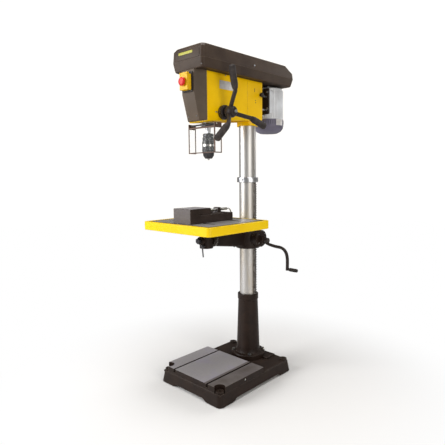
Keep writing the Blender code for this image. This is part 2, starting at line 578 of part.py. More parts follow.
def make_bracket():
    bore = COLUMN_RADIUS + GAP
    profile = [(bore, BRACKET_TOP), (BRACKET_RADIUS - 0.004, BRACKET_TOP),
               (BRACKET_RADIUS, BRACKET_TOP - 0.004), (BRACKET_RADIUS, BRACKET_BOTTOM + 0.004),
               (BRACKET_RADIUS - 0.004, BRACKET_BOTTOM), (bore, BRACKET_BOTTOM)]
    bracket = turned(profile, "Z", (0, 0), 32, closed=True)
    face = ARM_FACE + TILT_FLANGE_THICKNESS
    back = -COLUMN_RADIUS - 0.003
    arm = prism([[(back, BRACKET_BOTTOM + 0.010), (back, BRACKET_TOP - 0.004),
                  (face, TILT_HEIGHT + 0.030), (face, TILT_HEIGHT - 0.036)]],
                "X", -ARM_HALF_WIDTH, ARM_HALF_WIDTH)
    join(bracket, bevel(arm, 0.006, 1))
    join(bracket, cylinder(TILT_FLANGE_RADIUS, ARM_FACE, face + 0.002, "Y", (0, TILT_HEIGHT), 28))
    join(bracket, cylinder(HOUSING_RADIUS, COLUMN_RADIUS + 0.012, HOUSING_END, "X", (0, HOUSING_HEIGHT), 28))
    join(bracket, cylinder(HOUSING_NOSE_RADIUS, HOUSING_END - 0.01, HOUSING_NOSE_END, "X",
                           (0, WORM_HEIGHT), 24))
    ears = block((-BRACKET_RADIUS - 0.026, -0.020, BRACKET_BOTTOM), (-COLUMN_RADIUS - 0.010, 0.020, 0.760))
    join(bracket, bevel(ears, 0.006, 1))
    cut(bracket, cylinder(bore, 0.6, 0.9, "Z", (0, 0), 32))
    cut(bracket, block((-0.2, -0.0015, 0.6), (-COLUMN_RADIUS + 0.004, 0.0015, 0.9)))
    half = RACK_WIDTH / 2 + GAP
    cut(bracket, block((COLUMN_RADIUS - 0.004, -half, 0.6), (RACK_TIP_X + GAP, half, 0.9)))
    cut(bracket, cylinder(LIFT_ROOM, -half, half, "Y", (LIFT_X, LIFT_Z), 32))
    cut(bracket, cylinder(0.006 + GAP, -0.06, 0.06, "Y", (LIFT_X, LIFT_Z), 16))
    cut(bracket, cylinder(WORM_RADIUS + GAP, RACK_TIP_X + GAP, 0.2, "X", (0, WORM_HEIGHT), 24))
    cut(bracket, cylinder(TILT_BOLT_RADIUS + GAP, -0.3, -0.230, "Y", (0, TILT_HEIGHT), 20))
    lock_x = -BRACKET_RADIUS - 0.012
    cut(bracket, cylinder(0.0063, -0.05, 0.05, "Y", (lock_x, 0.735), 16))
    part("table_bracket", bracket, "dark_casting", "table_lift")
    joint("column_lock_turn", (lock_x, 0.020, 0.735), "table_lift")
    screw = cylinder(0.006, -0.019, 0.030, "Y", (lock_x, 0.735), 16)
    join(screw, bevel(cylinder(0.012, 0.020 + GAP, 0.042, "Y", (lock_x, 0.735), 20), 0.002, 1))
    join(screw, tube([(lock_x, 0.031, 0.735), (lock_x - 0.030, 0.034, 0.705), (lock_x - 0.060, 0.040, 0.672)],
                     0.005))
    part("column_lock_lever", screw, "black_oxide", "column_lock_turn")


def make_lift_gears():
    outline = gear_outline(LIFT_TEETH, RACK_MODULE, math.pi)
    placed = [(LIFT_X + u, LIFT_Z + v) for u, v in outline]
    half = RACK_WIDTH / 2 - 0.001
    pinion = prism([placed], "Y", -half, half)
    join(pinion, cylinder(0.006, -0.034, 0.034, "Y", (LIFT_X, LIFT_Z), 16))
    part("lift_pinion", pinion, "machined_iron", "pinion_turn")
    end = HOUSING_NOSE_END + CRANK_BOSS_LENGTH
    profile = [(0, end), (0.007, end), (0.007, HOUSING_NOSE_END - 0.002),
               (WORM_RADIUS, HOUSING_NOSE_END - 0.002),
               (WORM_RADIUS, RACK_TIP_X + 0.003), (0, RACK_TIP_X + 0.003)]
    part("lift_worm", turned(profile, "X", (0, WORM_HEIGHT), 24), "machined_iron", "crank_turn")


def make_crank():
    start, end = HOUSING_NOSE_END + GAP, HOUSING_NOSE_END + CRANK_BOSS_LENGTH
    boss = turned([(0.007 + GAP, end), (CRANK_BOSS_RADIUS - 0.002, end), (CRANK_BOSS_RADIUS, end - 0.002),
                   (CRANK_BOSS_RADIUS, start), (0.007 + GAP, start)], "X", (0, WORM_HEIGHT), 24, closed=True)
    knee = WORM_HEIGHT - CRANK_THROW
    route = smooth_path([(start + 0.012, 0, WORM_HEIGHT - 0.014), (0.152, 0, WORM_HEIGHT - 0.020),
                         (0.190, 0, WORM_HEIGHT - 0.026), (0.232, 0, WORM_HEIGHT - 0.030),
                         (0.257, 0, WORM_HEIGHT - 0.048), (CRANK_REACH, 0, WORM_HEIGHT - 0.082),
                         (CRANK_REACH, 0, knee - 0.006)], 3)
    join(boss, tube(route, CRANK_BAR_RADIUS))
    grip_start = CRANK_REACH + CRANK_BAR_RADIUS
    pin_end = grip_start + CRANK_GRIP_LENGTH
    join(boss, cylinder(0.004, CRANK_REACH, pin_end - 0.001, "X", (0, knee), 16))
    cut(boss, cylinder(0.007 + GAP, start - 0.01, end + 0.01, "X", (0, WORM_HEIGHT), 24))
    part("crank_arm", boss, "dark_casting", "crank_turn")
    low, high = grip_start + 0.0008, pin_end
    bore, outer = 0.004 + GAP, CRANK_GRIP_RADIUS
    profile = [(bore, high), (outer - 0.003, high), (outer, high - 0.003), (outer, low + 0.006),
               (outer - 0.0025, low), (bore, low)]
    part("crank_grip", turned(profile, "X", (0, knee), 20, closed=True), "black_plastic", "crank_grip_spin")


# ---- table ----


def make_tilt_bracket():
    start = ARM_FACE - GAP
    back = start - TILT_FLANGE_THICKNESS
    front = TABLE_BOSS_Y - TABLE_BOSS_RADIUS
    bracket = cylinder(TILT_FLANGE_RADIUS, back, start, "Y", (0, TILT_HEIGHT), 32)
    web = block((-0.028, TABLE_BOSS_Y, TILT_HEIGHT - 0.034), (0.028, back + 0.004, TILT_HEIGHT + 0.034))
    join(bracket, web)
    join(bracket, cylinder(TABLE_BOSS_RADIUS, TABLE_BOSS_BOTTOM, TABLE_BOTTOM - GAP, "Z",
                           (0, TABLE_BOSS_Y), 32))
    join(bracket, cylinder(0.020, front - 0.012, TABLE_BOSS_Y, "Y", (0, TILT_HEIGHT), 24))
    cut(bracket, cylinder(TABLE_POST_RADIUS + GAP, TABLE_BOTTOM - TABLE_POST_LENGTH - 0.001, 0.9, "Z",
                          (0, TABLE_BOSS_Y), 32))
    cut(bracket, cylinder(TILT_BOLT_RADIUS + GAP, -0.5, -0.2, "Y", (0, TILT_HEIGHT), 20))
    lever_x, lever_z = 0.016, TABLE_BOSS_BOTTOM + 0.014
    cut(bracket, cylinder(0.0043, front - 0.02, TABLE_BOSS_Y, "Y", (lever_x, lever_z), 16))
    part("tilt_bracket", bracket, "dark_casting", "table_tilt")
    bolt = cylinder(TILT_BOLT_RADIUS, front - 0.014, -0.232, "Y", (0, TILT_HEIGHT), 20)
    join(bolt, bevel(cylinder(TILT_BOLT_HEAD, front - 0.028, front - 0.012 - GAP, "Y", (0, TILT_HEIGHT), 6),
                     0.001, 1))
    part("tilt_bolt", bolt, "black_oxide", "table_lift")
    joint("table_lock_turn", (lever_x, front, lever_z), "table_tilt")
    screw = cylinder(0.004, front - 0.006, TABLE_BOSS_Y - 0.006, "Y", (lever_x, lever_z), 16)
    join(screw, cylinder(0.007, front - 0.016, front - 0.003, "Y", (lever_x, lever_z), 20))
    join(screw, tube([(lever_x, front - 0.010, lever_z), (lever_x + 0.004, front - 0.011, lever_z - 0.028),
                      (lever_x + 0.010, front - 0.014, lever_z - 0.052)], 0.0035))
    part("table_lock_lever", screw, "black_oxide", "table_lock_turn")


def make_table():
    left, right = -TABLE_WIDTH / 2, TABLE_WIDTH / 2
    front, rear = TABLE_REAR - TABLE_DEPTH, TABLE_REAR
    outline = rounded(rectangle(left, right, front, rear), TABLE_CORNER, 5)
    table = prism([outline], "Z", TABLE_BOTTOM, TABLE_TOP)
    bevel(table, 0.0015, 1, 60)
    pocket_roof = TABLE_TOP - TABLE_PLATE
    cell_x = (TABLE_WIDTH - 4 * TABLE_RIB) / 3
    cell_y = (TABLE_DEPTH - 4 * TABLE_RIB) / 3
    for i in range(3):
        for j in range(3):
            x = left + TABLE_RIB + i * (cell_x + TABLE_RIB)
            y = front + TABLE_RIB + j * (cell_y + TABLE_RIB)
            if (i, j) != (1, 1):
                cut(table, block((x, y, TABLE_BOTTOM - 0.01), (x + cell_x, y + cell_y, pocket_roof)))
    outer = rounded(rectangle(left + CHANNEL_INSET, right - CHANNEL_INSET, front + CHANNEL_INSET,
                              rear - CHANNEL_INSET), TABLE_CORNER / 2, 3)
    inset = CHANNEL_INSET + CHANNEL_WIDTH
    inner = rounded(rectangle(left + inset, right - inset, front + inset, rear - inset), TABLE_CORNER / 4, 3)
    cut(table, prism([outer, inner], "Z", TABLE_TOP - CHANNEL_DEPTH, TABLE_TOP + 0.01))
    for side in (-1, 1):
        y = TABLE_Y + side * TABLE_SLOT_SPREAD / 2
        wide, long = TABLE_SLOT_WIDTH / 2, TABLE_SLOT_LENGTH / 2
        slot = rounded(rectangle(-long, long, y - wide, y + wide), wide * 0.98, 4)
        cut(table, prism([slot], "Z", TABLE_BOTTOM - 0.01, TABLE_TOP + 0.01))
    join(table, cylinder(TABLE_POST_RADIUS, TABLE_BOTTOM - TABLE_POST_LENGTH, TABLE_BOTTOM + 0.004, "Z",
                         (0, TABLE_BOSS_Y), 32))
    part("table_casting", table, "yellow_paint", "table_turn")


def make_vise():
    left, right = VISE_X - VISE_WIDTH / 2, VISE_X + VISE_WIDTH / 2
    bed, jaw_top = VISE_BOTTOM + VISE_BED, VISE_BOTTOM + VISE_JAW_HEIGHT
    axis = VISE_BOTTOM + SCREW_HEIGHT
    nut_top = axis + 0.012
    fixed = VISE_FRONT + FIXED_JAW_DEPTH
    nut_back = NUT_BLOCK_FRONT + NUT_BLOCK_DEPTH
    side_view = [(VISE_FRONT, VISE_BOTTOM), (VISE_REAR, VISE_BOTTOM), (VISE_REAR, bed), (nut_back, bed),
                 (nut_back - 0.003, nut_top), (NUT_BLOCK_FRONT + 0.003, nut_top), (NUT_BLOCK_FRONT, bed),
                 (fixed, bed), (fixed, jaw_top), (VISE_FRONT, jaw_top)]
    base = prism([side_view], "X", left, right)
    bevel(base, 0.0015, 1, 60)
    groove = 0.016
    for near, far in ((left - 0.01, VISE_X - groove), (VISE_X + groove, right + 0.01)):
        cut(base, block((near, NUT_BLOCK_FRONT - 0.002, bed + 0.0005),
                        (far, nut_back + 0.002, nut_top + 0.01)))
    cut(base, block((VISE_X - groove, fixed + 0.002, bed - 0.014),
                    (VISE_X + groove, NUT_BLOCK_FRONT - 0.006, bed + 0.01)))
    cut(base, cylinder(SCREW_RADIUS + GAP, NUT_BLOCK_FRONT - 0.01, nut_back + 0.01, "Y", (VISE_X, axis), 20))
    part("vise_base", base, "dark_casting", "table_turn")
    start = fixed + 0.002
    end = start + MOVING_JAW_DEPTH
    jaw = block((left + 0.004, start, bed + GAP), (right - 0.004, end, jaw_top))
    bevel(jaw, 0.0015, 1, 60)
    join(jaw, block((VISE_X - groove + GAP, start + 0.004, bed - 0.0125),
                    (VISE_X + groove - GAP, end - 0.004, bed + 0.004)))
    cut(jaw, cylinder(SCREW_RADIUS + GAP, end - 0.014, end + 0.01, "Y", (VISE_X, axis), 20))
    part("vise_jaw", jaw, "dark_casting", "vise_slide")
    screw = cylinder(SCREW_RADIUS, end - 0.0137, SCREW_END, "Y", (VISE_X, axis), 20)
    handle = [(VISE_X, SCREW_END - 0.006, axis), (VISE_X, SCREW_END + 0.020, axis),
              (VISE_X, SCREW_END + 0.030, axis - 0.010), (VISE_X, SCREW_END + 0.046, axis - 0.040)]
    join(screw, tube(handle, 0.0035))
    part("vise_screw", screw, "bolt_steel", "vise_screw_turn")


# ---- head ----


def make_head():
    side_view = [(HEAD_FRONT, HEAD_FRONT_BOTTOM), (HEAD_REAR, HEAD_REAR_BOTTOM), (HEAD_REAR, HEAD_TOP),
                 (HEAD_FRONT, HEAD_TOP)]
    head = prism([side_view], "X", -HEAD_HALF_WIDTH, HEAD_HALF_WIDTH)
    bevel(head, 0.005, 2, 60)
    join(head, cylinder(SOCKET_RADIUS, SOCKET_BOTTOM, HEAD_REAR_BOTTOM + 0.03, "Z", (0, 0), 32))
    inside = HEAD_HALF_WIDTH - HEAD_WALL
    cut(head, block((-inside, CAVITY_FRONT, 1.2), (inside, CAVITY_REAR, HEAD_TOP - HEAD_WALL)))
    cut(head, cylinder(COLUMN_RADIUS + GAP, 1.2, COLUMN_TOP + 0.002, "Z", (0, 0), 40))
    cut(head, cylinder(QUILL_RADIUS + GAP, 1.2, QUILL_TOP + 0.004, "Z", (0, SPINDLE_Y), 28))
    cut(head, cylinder(SLEEVE_RADIUS + GAP, QUILL_TOP, HEAD_TOP + 0.01, "Z", (0, SPINDLE_Y), 32))
    cut(head, cylinder(FEED_SHAFT_RADIUS + GAP, -0.2, 0.2, "X", (FEED_Y, FEED_HEIGHT), 20))
    pinion_room = FEED_PITCH_RADIUS + FEED_MODULE + 0.001
    cut(head, cylinder(pinion_room, -FEED_PINION_HALF - 0.001, FEED_PINION_HALF + 0.001, "X",
                       (FEED_Y, FEED_HEIGHT), 24))
    for height in ROD_HEIGHTS:
        for side in (-1, 1):
            cut(head, cylinder(ROD_RADIUS + GAP, CAVITY_REAR - 0.01, HEAD_REAR + 0.01, "Y",
                               (side * ROD_X, height), 16))
    cut(head, cylinder(0.0043, ROD_X, HEAD_HALF_WIDTH + 0.01, "X", (KNOB_Y, ROD_HEIGHTS[0]), 16))
    cut(head, cylinder(0.010 + GAP, HEAD_TOP - 0.03, HEAD_TOP + 0.01, "Z", (0, IDLER_PIVOT_Y), 24))
    part("head_casting", head, "yellow_paint")


def make_nose():
    """The plastic panel in front of the head: an open shell that narrows towards its front."""
    levels = ((HEAD_FRONT_BOTTOM + 0.006, -0.399, 0.0395), (1.474, NOSE_FRONT, 0.042),
              (HEAD_TOP - GAP, NOSE_FRONT, 0.042))
    back = HEAD_FRONT - GAP
    bm = bmesh.new()
    rings = []
    for z, front, half in levels:
        ring = [(-HEAD_HALF_WIDTH, back, z), (-half, front, z), (half, front, z), (HEAD_HALF_WIDTH, back, z)]
        rings.append([bm.verts.new(place) for place in ring])
    for low, high in zip(rings, rings[1:]):
        for k in range(3):
            bm.faces.new((low[k], low[k + 1], high[k + 1], high[k]))
    bm.faces.new(rings[0][::-1])
    bm.faces.new(rings[-1])
    nose = from_bmesh(bm)
    # The shell's walls lie inside the outer faces, and its open side meets the head.
    middle = Vector((0, back, 1.45))
    outward = sum((f.normal.dot(f.center - middle) for f in nose.data.polygons))
    if outward < 0:
        nose.data.flip_normals()
    wall = nose.modifiers.new("wall", "SOLIDIFY")
    wall.thickness = NOSE_WALL
    wall.offset = -1
    wall.use_even_offset = True
    wall.use_rim = True
    cut(nose, block((-0.1, back, 1.3), (0.1, back + 0.02, 1.62)))
    part("front_panel", nose, "grey_plastic")


def make_switch():
    half, low, high = SWITCH_HALF_WIDTH, SWITCH_BOTTOM, SWITCH_TOP
    flap_back = SWITCH_FRONT + FLAP_THICKNESS
    face = flap_back + GAP
    back = NOSE_FRONT - GAP
    box = block((-half, face, low), (half, back, high))
    bevel(box, 0.003, 2, 60)
    centre = (low + high) / 2
    cut(box, cylinder(0.009, face - 0.01, face + 0.012, "Y", (0, START_HEIGHT), 20))
    cut(box, cylinder(0.0072, face - 0.01, face + MUSHROOM_TRAVEL + 0.001, "Y", (0, centre), 20))
    pin_y = SWITCH_FRONT + FLAP_THICKNESS / 2
    for side in (-1, 1):
        low_x, high_x = sorted((side * (half - 0.001), side * (half - 0.008)))
        join(box, block((low_x, SWITCH_FRONT, high - 0.004), (high_x, face + 0.006, high + 0.006)))
    join(box, cylinder(0.0015, -half + 0.004, half - 0.004, "X", (pin_y, FLAP_PIN_HEIGHT), 12))
    part("switch_base", box, "yellow_paint")
    flap = block((-half, SWITCH_FRONT, low), (half, flap_back, high - 0.0055))
    bevel(flap, 0.0015, 2, 60)
    join(flap, block((-half + 0.009, SWITCH_FRONT + 0.0005, high - 0.008),
                     (half - 0.009, flap_back - 0.0005, high + 0.0055)))
    cut(flap, cylinder(0.0015 + GAP, -0.1, 0.1, "X", (pin_y, FLAP_PIN_HEIGHT), 12))
    cut(flap, cylinder(0.007, SWITCH_FRONT - 0.01, flap_back + 0.01, "Y", (0, centre), 20))
    part("switch_flap", flap, "yellow_paint", "flap_hinge")
    front = SWITCH_FRONT - MUSHROOM_LENGTH
    rim = SWITCH_FRONT - MUSHROOM_TRAVEL - 0.0008
    profile = [(0, flap_back - 0.001), (0.0067, flap_back - 0.001), (0.0067, rim),
               (MUSHROOM_RADIUS - 0.001, rim), (MUSHROOM_RADIUS, rim - 0.002), (MUSHROOM_RADIUS, front + 0.006),
               (MUSHROOM_RADIUS - 0.003, front + 0.002), (MUSHROOM_RADIUS - 0.009, front), (0, front)]
    part("stop_mushroom", turned(profile, "Y", (0, centre), 28), "red_plastic", "stop_press")
    button = turned([(0, face + 0.0085), (0.0087, face + 0.0085), (0.0087, face + 0.001),
                     (0.008, face + 0.0004), (0, face + 0.0004)], "Y", (0, START_HEIGHT), 20)
    part("start_button", button, "green_plastic", "start_press")


def make_quill():
    profile = [(QUILL_BORE, QUILL_TOP), (QUILL_RADIUS, QUILL_TOP), (QUILL_RADIUS, QUILL_BOTTOM),
               (QUILL_BORE, QUILL_BOTTOM)]
    quill = turned(profile, "Z", (0, SPINDLE_Y), 28, closed=True)
    flat = SPINDLE_Y + QUILL_RADIUS - QUILL_FLAT
    low, high = FEED_HEIGHT - 0.022, QUILL_TOP + 0.001
    cut(quill, block((-0.02, flat, low), (0.02, flat + 0.01, high)))
    pitch = math.pi * FEED_MODULE
    half = pitch / 4 + SLACK
    root = RACK_PITCH_Y - 1.25 * FEED_MODULE
    grooves = math.ceil(FEED_STROKE / pitch)
    for k in range(-3, grooves):
        z = FEED_HEIGHT + k * pitch
        groove = [(root, z - half + 0.45 * FEED_MODULE), (flat + 0.002, z - half - 0.55 * FEED_MODULE),
                  (flat + 0.002, z + half + 0.55 * FEED_MODULE), (root, z + half - 0.45 * FEED_MODULE)]
        cut(quill, prism([groove], "X", -0.02, 0.02))
    part("quill", quill, "ground_steel", "quill_slide")
    collar = QUILL_BORE - GAP
    nose = QUILL_BOTTOM - 0.003
    profile = [(0, SPINDLE_TOP), (SPINDLE_RADIUS, SPINDLE_TOP), (SPINDLE_RADIUS, QUILL_TOP - 0.002),
               (collar, QUILL_TOP - 0.002), (collar, QUILL_TOP - 0.020), (SPINDLE_RADIUS, QUILL_TOP - 0.020),
               (SPINDLE_RADIUS, QUILL_BOTTOM + 0.024), (collar, QUILL_BOTTOM + 0.024), (collar, nose),
               (0.0125, nose - 0.005), (0.0115, CHUCK_TOP + 0.002), (ARBOR_RADIUS, CHUCK_TOP + 0.0015),
               (ARBOR_RADIUS, CHUCK_TOP - ARBOR_DEPTH), (0, CHUCK_TOP - ARBOR_DEPTH)]
    part("spindle", turned(profile, "Z", (0, SPINDLE_Y), 24), "ground_steel", "spindle_spin")


def make_chuck():
    arbor = ARBOR_RADIUS + GAP
    floor = CHUCK_TOP - ARBOR_DEPTH - GAP
    mouth_top = JAW_TOP + JAW_TRAVEL * math.cos(JAW_TILT) + 0.003
    mouth_radius = JAW_MOUTH_RADIUS + (mouth_top - CHUCK_BOTTOM) * math.tan(JAW_TILT)
    core, ledge = CHUCK_CORE_RADIUS, CHUCK_SLEEVE_BOTTOM - GAP
    profile = [(0, floor), (arbor, floor), (arbor, CHUCK_TOP), (0.024, CHUCK_TOP),
               (0.0265, CHUCK_TOP - 0.002),
               (0.0265, CHUCK_TOP - 0.013), (0.0245, CHUCK_TOP - 0.015), (0.0285, CHUCK_TOP - 0.019),
               (0.0295, CHUCK_SLEEVE_TOP + 0.003), (0.0285, CHUCK_SLEEVE_TOP + GAP),
               (core, CHUCK_SLEEVE_TOP + GAP), (core, ledge), (0.0285, ledge), (0.0265, CHUCK_BOTTOM + 0.014),
               (0.017, CHUCK_BOTTOM), (JAW_MOUTH_RADIUS, CHUCK_BOTTOM), (mouth_radius, mouth_top),
               (0, mouth_top)]
    part("chuck_body", turned(profile, "Z", (0, SPINDLE_Y), 24), "black_oxide", "spindle_spin")
    outer, inner = CHUCK_SLEEVE_RADIUS, core + GAP
    low, high = CHUCK_SLEEVE_BOTTOM, CHUCK_SLEEVE_TOP
    profile = [(inner, high), (outer - 0.002, high), (outer, high - 0.006), (outer, low + 0.006),
               (outer - 0.002, low), (inner, low)]
    part("chuck_sleeve", turned(profile, "Z", (0, SPINDLE_Y), 24, closed=True), "black_oxide", "chuck_twist")
    for k in range(3):
        part(f"chuck_jaw_{k + 1}", make_jaw(math.pi / 2 + 2 * math.pi * k / 3), "ground_steel",
             f"jaw_slide_{k + 1}")


def make_jaw(angle):
    """One jaw: its back lies along the cone inside the chuck's nose, and its front is upright."""
    def back(z):
        cone = JAW_MOUTH_RADIUS + (z - CHUCK_BOTTOM) * math.tan(JAW_TILT)
        return math.sqrt(cone * cone - JAW_HALF_WIDTH * JAW_HALF_WIDTH) - 2 * GAP

    front = JAW_HALF_WIDTH * 0.7
    side_view = [(front, JAW_BOTTOM), (back(CHUCK_BOTTOM) - 0.002, JAW_BOTTOM),
                 (back(CHUCK_BOTTOM), CHUCK_BOTTOM),
                 (back(JAW_TOP), JAW_TOP), (front, JAW_TOP)]
    jaw = prism([side_view], "Y", -JAW_HALF_WIDTH, JAW_HALF_WIDTH)
    jaw.data.transform(Matrix.Rotation(angle, 4, "Z"))
    jaw.location = (0, SPINDLE_Y, 0)
    return jaw


def make_guard():
    low = GUARD_RING_BOTTOM
    high = low + GUARD_RING_HEIGHT
    ring = cylinder(GUARD_RING_RADIUS, low, high, "Z", (0, SPINDLE_Y), 28)
    reach = GUARD_HALF_WIDTH - GUARD_STRIP - 0.0006
    join(ring, cylinder(0.004, -reach, reach, "X", (GUARD_HINGE_Y, GUARD_HINGE_Z), 16))
    join(ring, block((-0.016, GUARD_HINGE_Y - 0.003, low + 0.003), (0.016, SPINDLE_Y - 0.031, high - 0.003)))
    for side in (-1, 1):
        ends = sorted((side * (reach - 0.002), side * (GUARD_HALF_WIDTH + 0.002)))
        join(ring, cylinder(0.003, *ends, "X", (GUARD_HINGE_Y, GUARD_HINGE_Z), 16))
    cut(ring, cylinder(QUILL_RADIUS + GAP, low - 0.01, high + 0.01, "Z", (0, SPINDLE_Y), 28))
    part("guard_clamp", ring, "black_oxide", "quill_slide")

    def bent(half, front, back, thickness):
        inner = half - thickness
        return [(-half, back), (-half, front), (half, front), (half, back), (inner, back),
                (inner, front + thickness), (-inner, front + thickness), (-inner, back)]

    ear_top = GUARD_HINGE_Z + 0.007
    frame = prism([bent(GUARD_HALF_WIDTH, GUARD_FRONT, GUARD_BACK, GUARD_STRIP)], "Z", GUARD_BOTTOM, ear_top)
    window_top, window_low = GUARD_HINGE_Z - 0.018, GUARD_BOTTOM + GUARD_EDGE
    wide = GUARD_HALF_WIDTH - GUARD_EDGE
    cut(frame, block((-wide, GUARD_FRONT - 0.01, window_low), (wide, GUARD_FRONT + 0.01, window_top)))
    cut(frame, block((-wide - 0.001, GUARD_FRONT - 0.01, GUARD_HINGE_Z - 0.010),
                     (wide + 0.001, GUARD_FRONT + 0.01, ear_top + 0.01)))
    cut(frame, block((-0.2, GUARD_FRONT + GUARD_EDGE, window_low),
                     (0.2, GUARD_BACK - GUARD_EDGE, window_top)))
    cut(frame, cylinder(0.003 + GAP, -0.2, 0.2, "X", (GUARD_HINGE_Y, GUARD_HINGE_Z), 16))
    part("guard_frame", frame, "black_oxide", "guard_flip")
    inside = GUARD_STRIP + GAP
    pane = bent(GUARD_HALF_WIDTH - inside, GUARD_FRONT + inside, GUARD_BACK - 0.001, GUARD_PANE)
    shield = prism([pane], "Z", GUARD_BOTTOM + 0.001, GUARD_HINGE_Z - 0.012)
    part("guard_shield", shield, "clear_plastic", "guard_flip")


# ---- feed handle ----


def feed_place(radius, x, angle):
    return (x, FEED_Y - radius * math.sin(angle), FEED_HEIGHT + radius * math.cos(angle))


def make_feed():
    outline = gear_outline(FEED_TEETH, FEED_MODULE, math.pi)
    placed = [(FEED_Y + u, FEED_HEIGHT + v) for u, v in outline]
    shaft_end = HUB_START + HUB_LENGTH + 0.007
    left_end = -HEAD_HALF_WIDTH - SPRING_CAP_WIDTH + 0.006
    shaft = prism([placed], "X", -FEED_PINION_HALF, FEED_PINION_HALF)
    join(shaft, cylinder(FEED_SHAFT_RADIUS, left_end, shaft_end, "X", (FEED_Y, FEED_HEIGHT), 20))
    part("feed_shaft", shaft, "bolt_steel", "feed_turn")

    bore = FEED_SHAFT_RADIUS + GAP
    low, high = HEAD_HALF_WIDTH + GAP, HEAD_HALF_WIDTH + DIAL_WIDTH
    profile = [(bore, high), (DIAL_RADIUS - 0.004, high), (DIAL_RADIUS, high - 0.003),
               (DIAL_RADIUS, low + 0.004),
               (DIAL_RADIUS - 0.002, low), (bore, low)]
    dial = turned(profile, "X", (FEED_Y, FEED_HEIGHT), 28, closed=True)
    part("feed_dial", dial, "black_plastic", "feed_turn")
    low, high = HUB_START, HUB_START + HUB_LENGTH
    profile = [(bore, high), (0.017, high), (0.024, high - 0.006), (HUB_RADIUS, high - 0.018),
               (HUB_RADIUS, low + 0.016), (0.022, low + 0.004), (0.020, low), (bore, low)]
    hub = turned(profile, "X", (FEED_Y, FEED_HEIGHT), 24, closed=True)
    for k in range(3):
        angle = FEED_ARM_ANGLE + 2 * math.pi * k / 3
        root = (0.018, HUB_START + HUB_LENGTH * 0.52)
        elbow = (ELBOW_RADIUS, ELBOW_X)
        cut(hub, tube([feed_place(root[0] - GAP, root[1], angle), feed_place(*elbow, angle)],
                      FEED_ARM_RADIUS + GAP))
        before = [e * 0.86 + r * 0.14 for e, r in zip(elbow, root)]
        route = [root, before, (elbow[0] - 0.004, elbow[1] - 0.0015), (FEED_GRIP_START, ELBOW_X),
                 (FEED_GRIP_START + 0.030, ELBOW_X)]
        part(f"feed_arm_{k + 1}", tube([feed_place(*p, angle) for p in route], FEED_ARM_RADIUS, 2),
             "dark_casting", "feed_turn")
        part(f"feed_grip_{k + 1}", make_feed_grip(angle), "black_rubber", "feed_turn")
    part("feed_hub", hub, "dark_casting", "feed_turn")


def make_feed_grip(angle):
    low, high, outer = FEED_GRIP_START + 0.002, FEED_GRIP_END, FEED_GRIP_RADIUS
    bore = FEED_ARM_RADIUS + GAP
    profile = [(0, high), (outer - 0.006, high), (outer, high - 0.006), (outer, low + 0.020),
               (outer - 0.004, low), (bore, low), (bore, low + 0.029), (0, low + 0.029)]
    grip = turned(profile, "Z", (0, 0), 20)
    grip.location = (ELBOW_X, FEED_Y, FEED_HEIGHT)
    grip.rotation_euler = (angle, 0, 0)
    return grip


def make_spring_cap():
    low, high = -HEAD_HALF_WIDTH - SPRING_CAP_WIDTH, -HEAD_HALF_WIDTH - GAP
    wall = 0.003
    outer = SPRING_CAP_RADIUS
    profile = [(FEED_SHAFT_RADIUS + GAP, high), (outer, high), (outer, low + 0.004), (outer - 0.004, low),
               (0, low), (0, low + wall), (outer - wall - 0.002, low + wall),
               (outer - wall, low + wall + 0.002),
               (outer - wall, high - wall), (FEED_SHAFT_RADIUS + GAP, high - wall)]
    part("spring_cap", turned(profile, "X", (FEED_Y, FEED_HEIGHT), 24, closed=True), "black_plastic")


# ---- belt cover and drive ----


def cover_ring(bm, inset, height, rear, rear_height=None):
    """One level of the cover: a rounded rectangle, lower at its rear end where rear_height says so."""
    half = COVER_HALF_WIDTH - inset
    outline = rounded(rectangle(-half, half, COVER_FRONT + inset, rear), COVER_CORNER, 5)
    ring = []
    for x, y in outline:
        back = rear_height is not None and y > rear - COVER_CORNER - 0.001
        ring.append(bm.verts.new((x, y, rear_height if back else height)))
    return ring


def cover_shell(levels, cap_first):
    """An open shell through the levels, closed at one end and thickened inwards."""
    bm = bmesh.new()
    rings = [cover_ring(bm, *level) for level in levels]
    for low, high in zip(rings, rings[1:]):
        for k in range(len(low)):
            after = (k + 1) % len(low)
            bm.faces.new((low[k], low[after], high[after], high[k]))
    bm.faces.new(rings[0][::-1] if cap_first else rings[-1])
    mesh = bpy.data.meshes.new("shell")
    bm.to_mesh(mesh)
    bm.free()
    shell = loose(mesh)
    wall = shell.modifiers.new("wall", "SOLIDIFY")
    wall.thickness = COVER_WALL
    wall.offset = -1
    wall.use_even_offset = True
    return shell


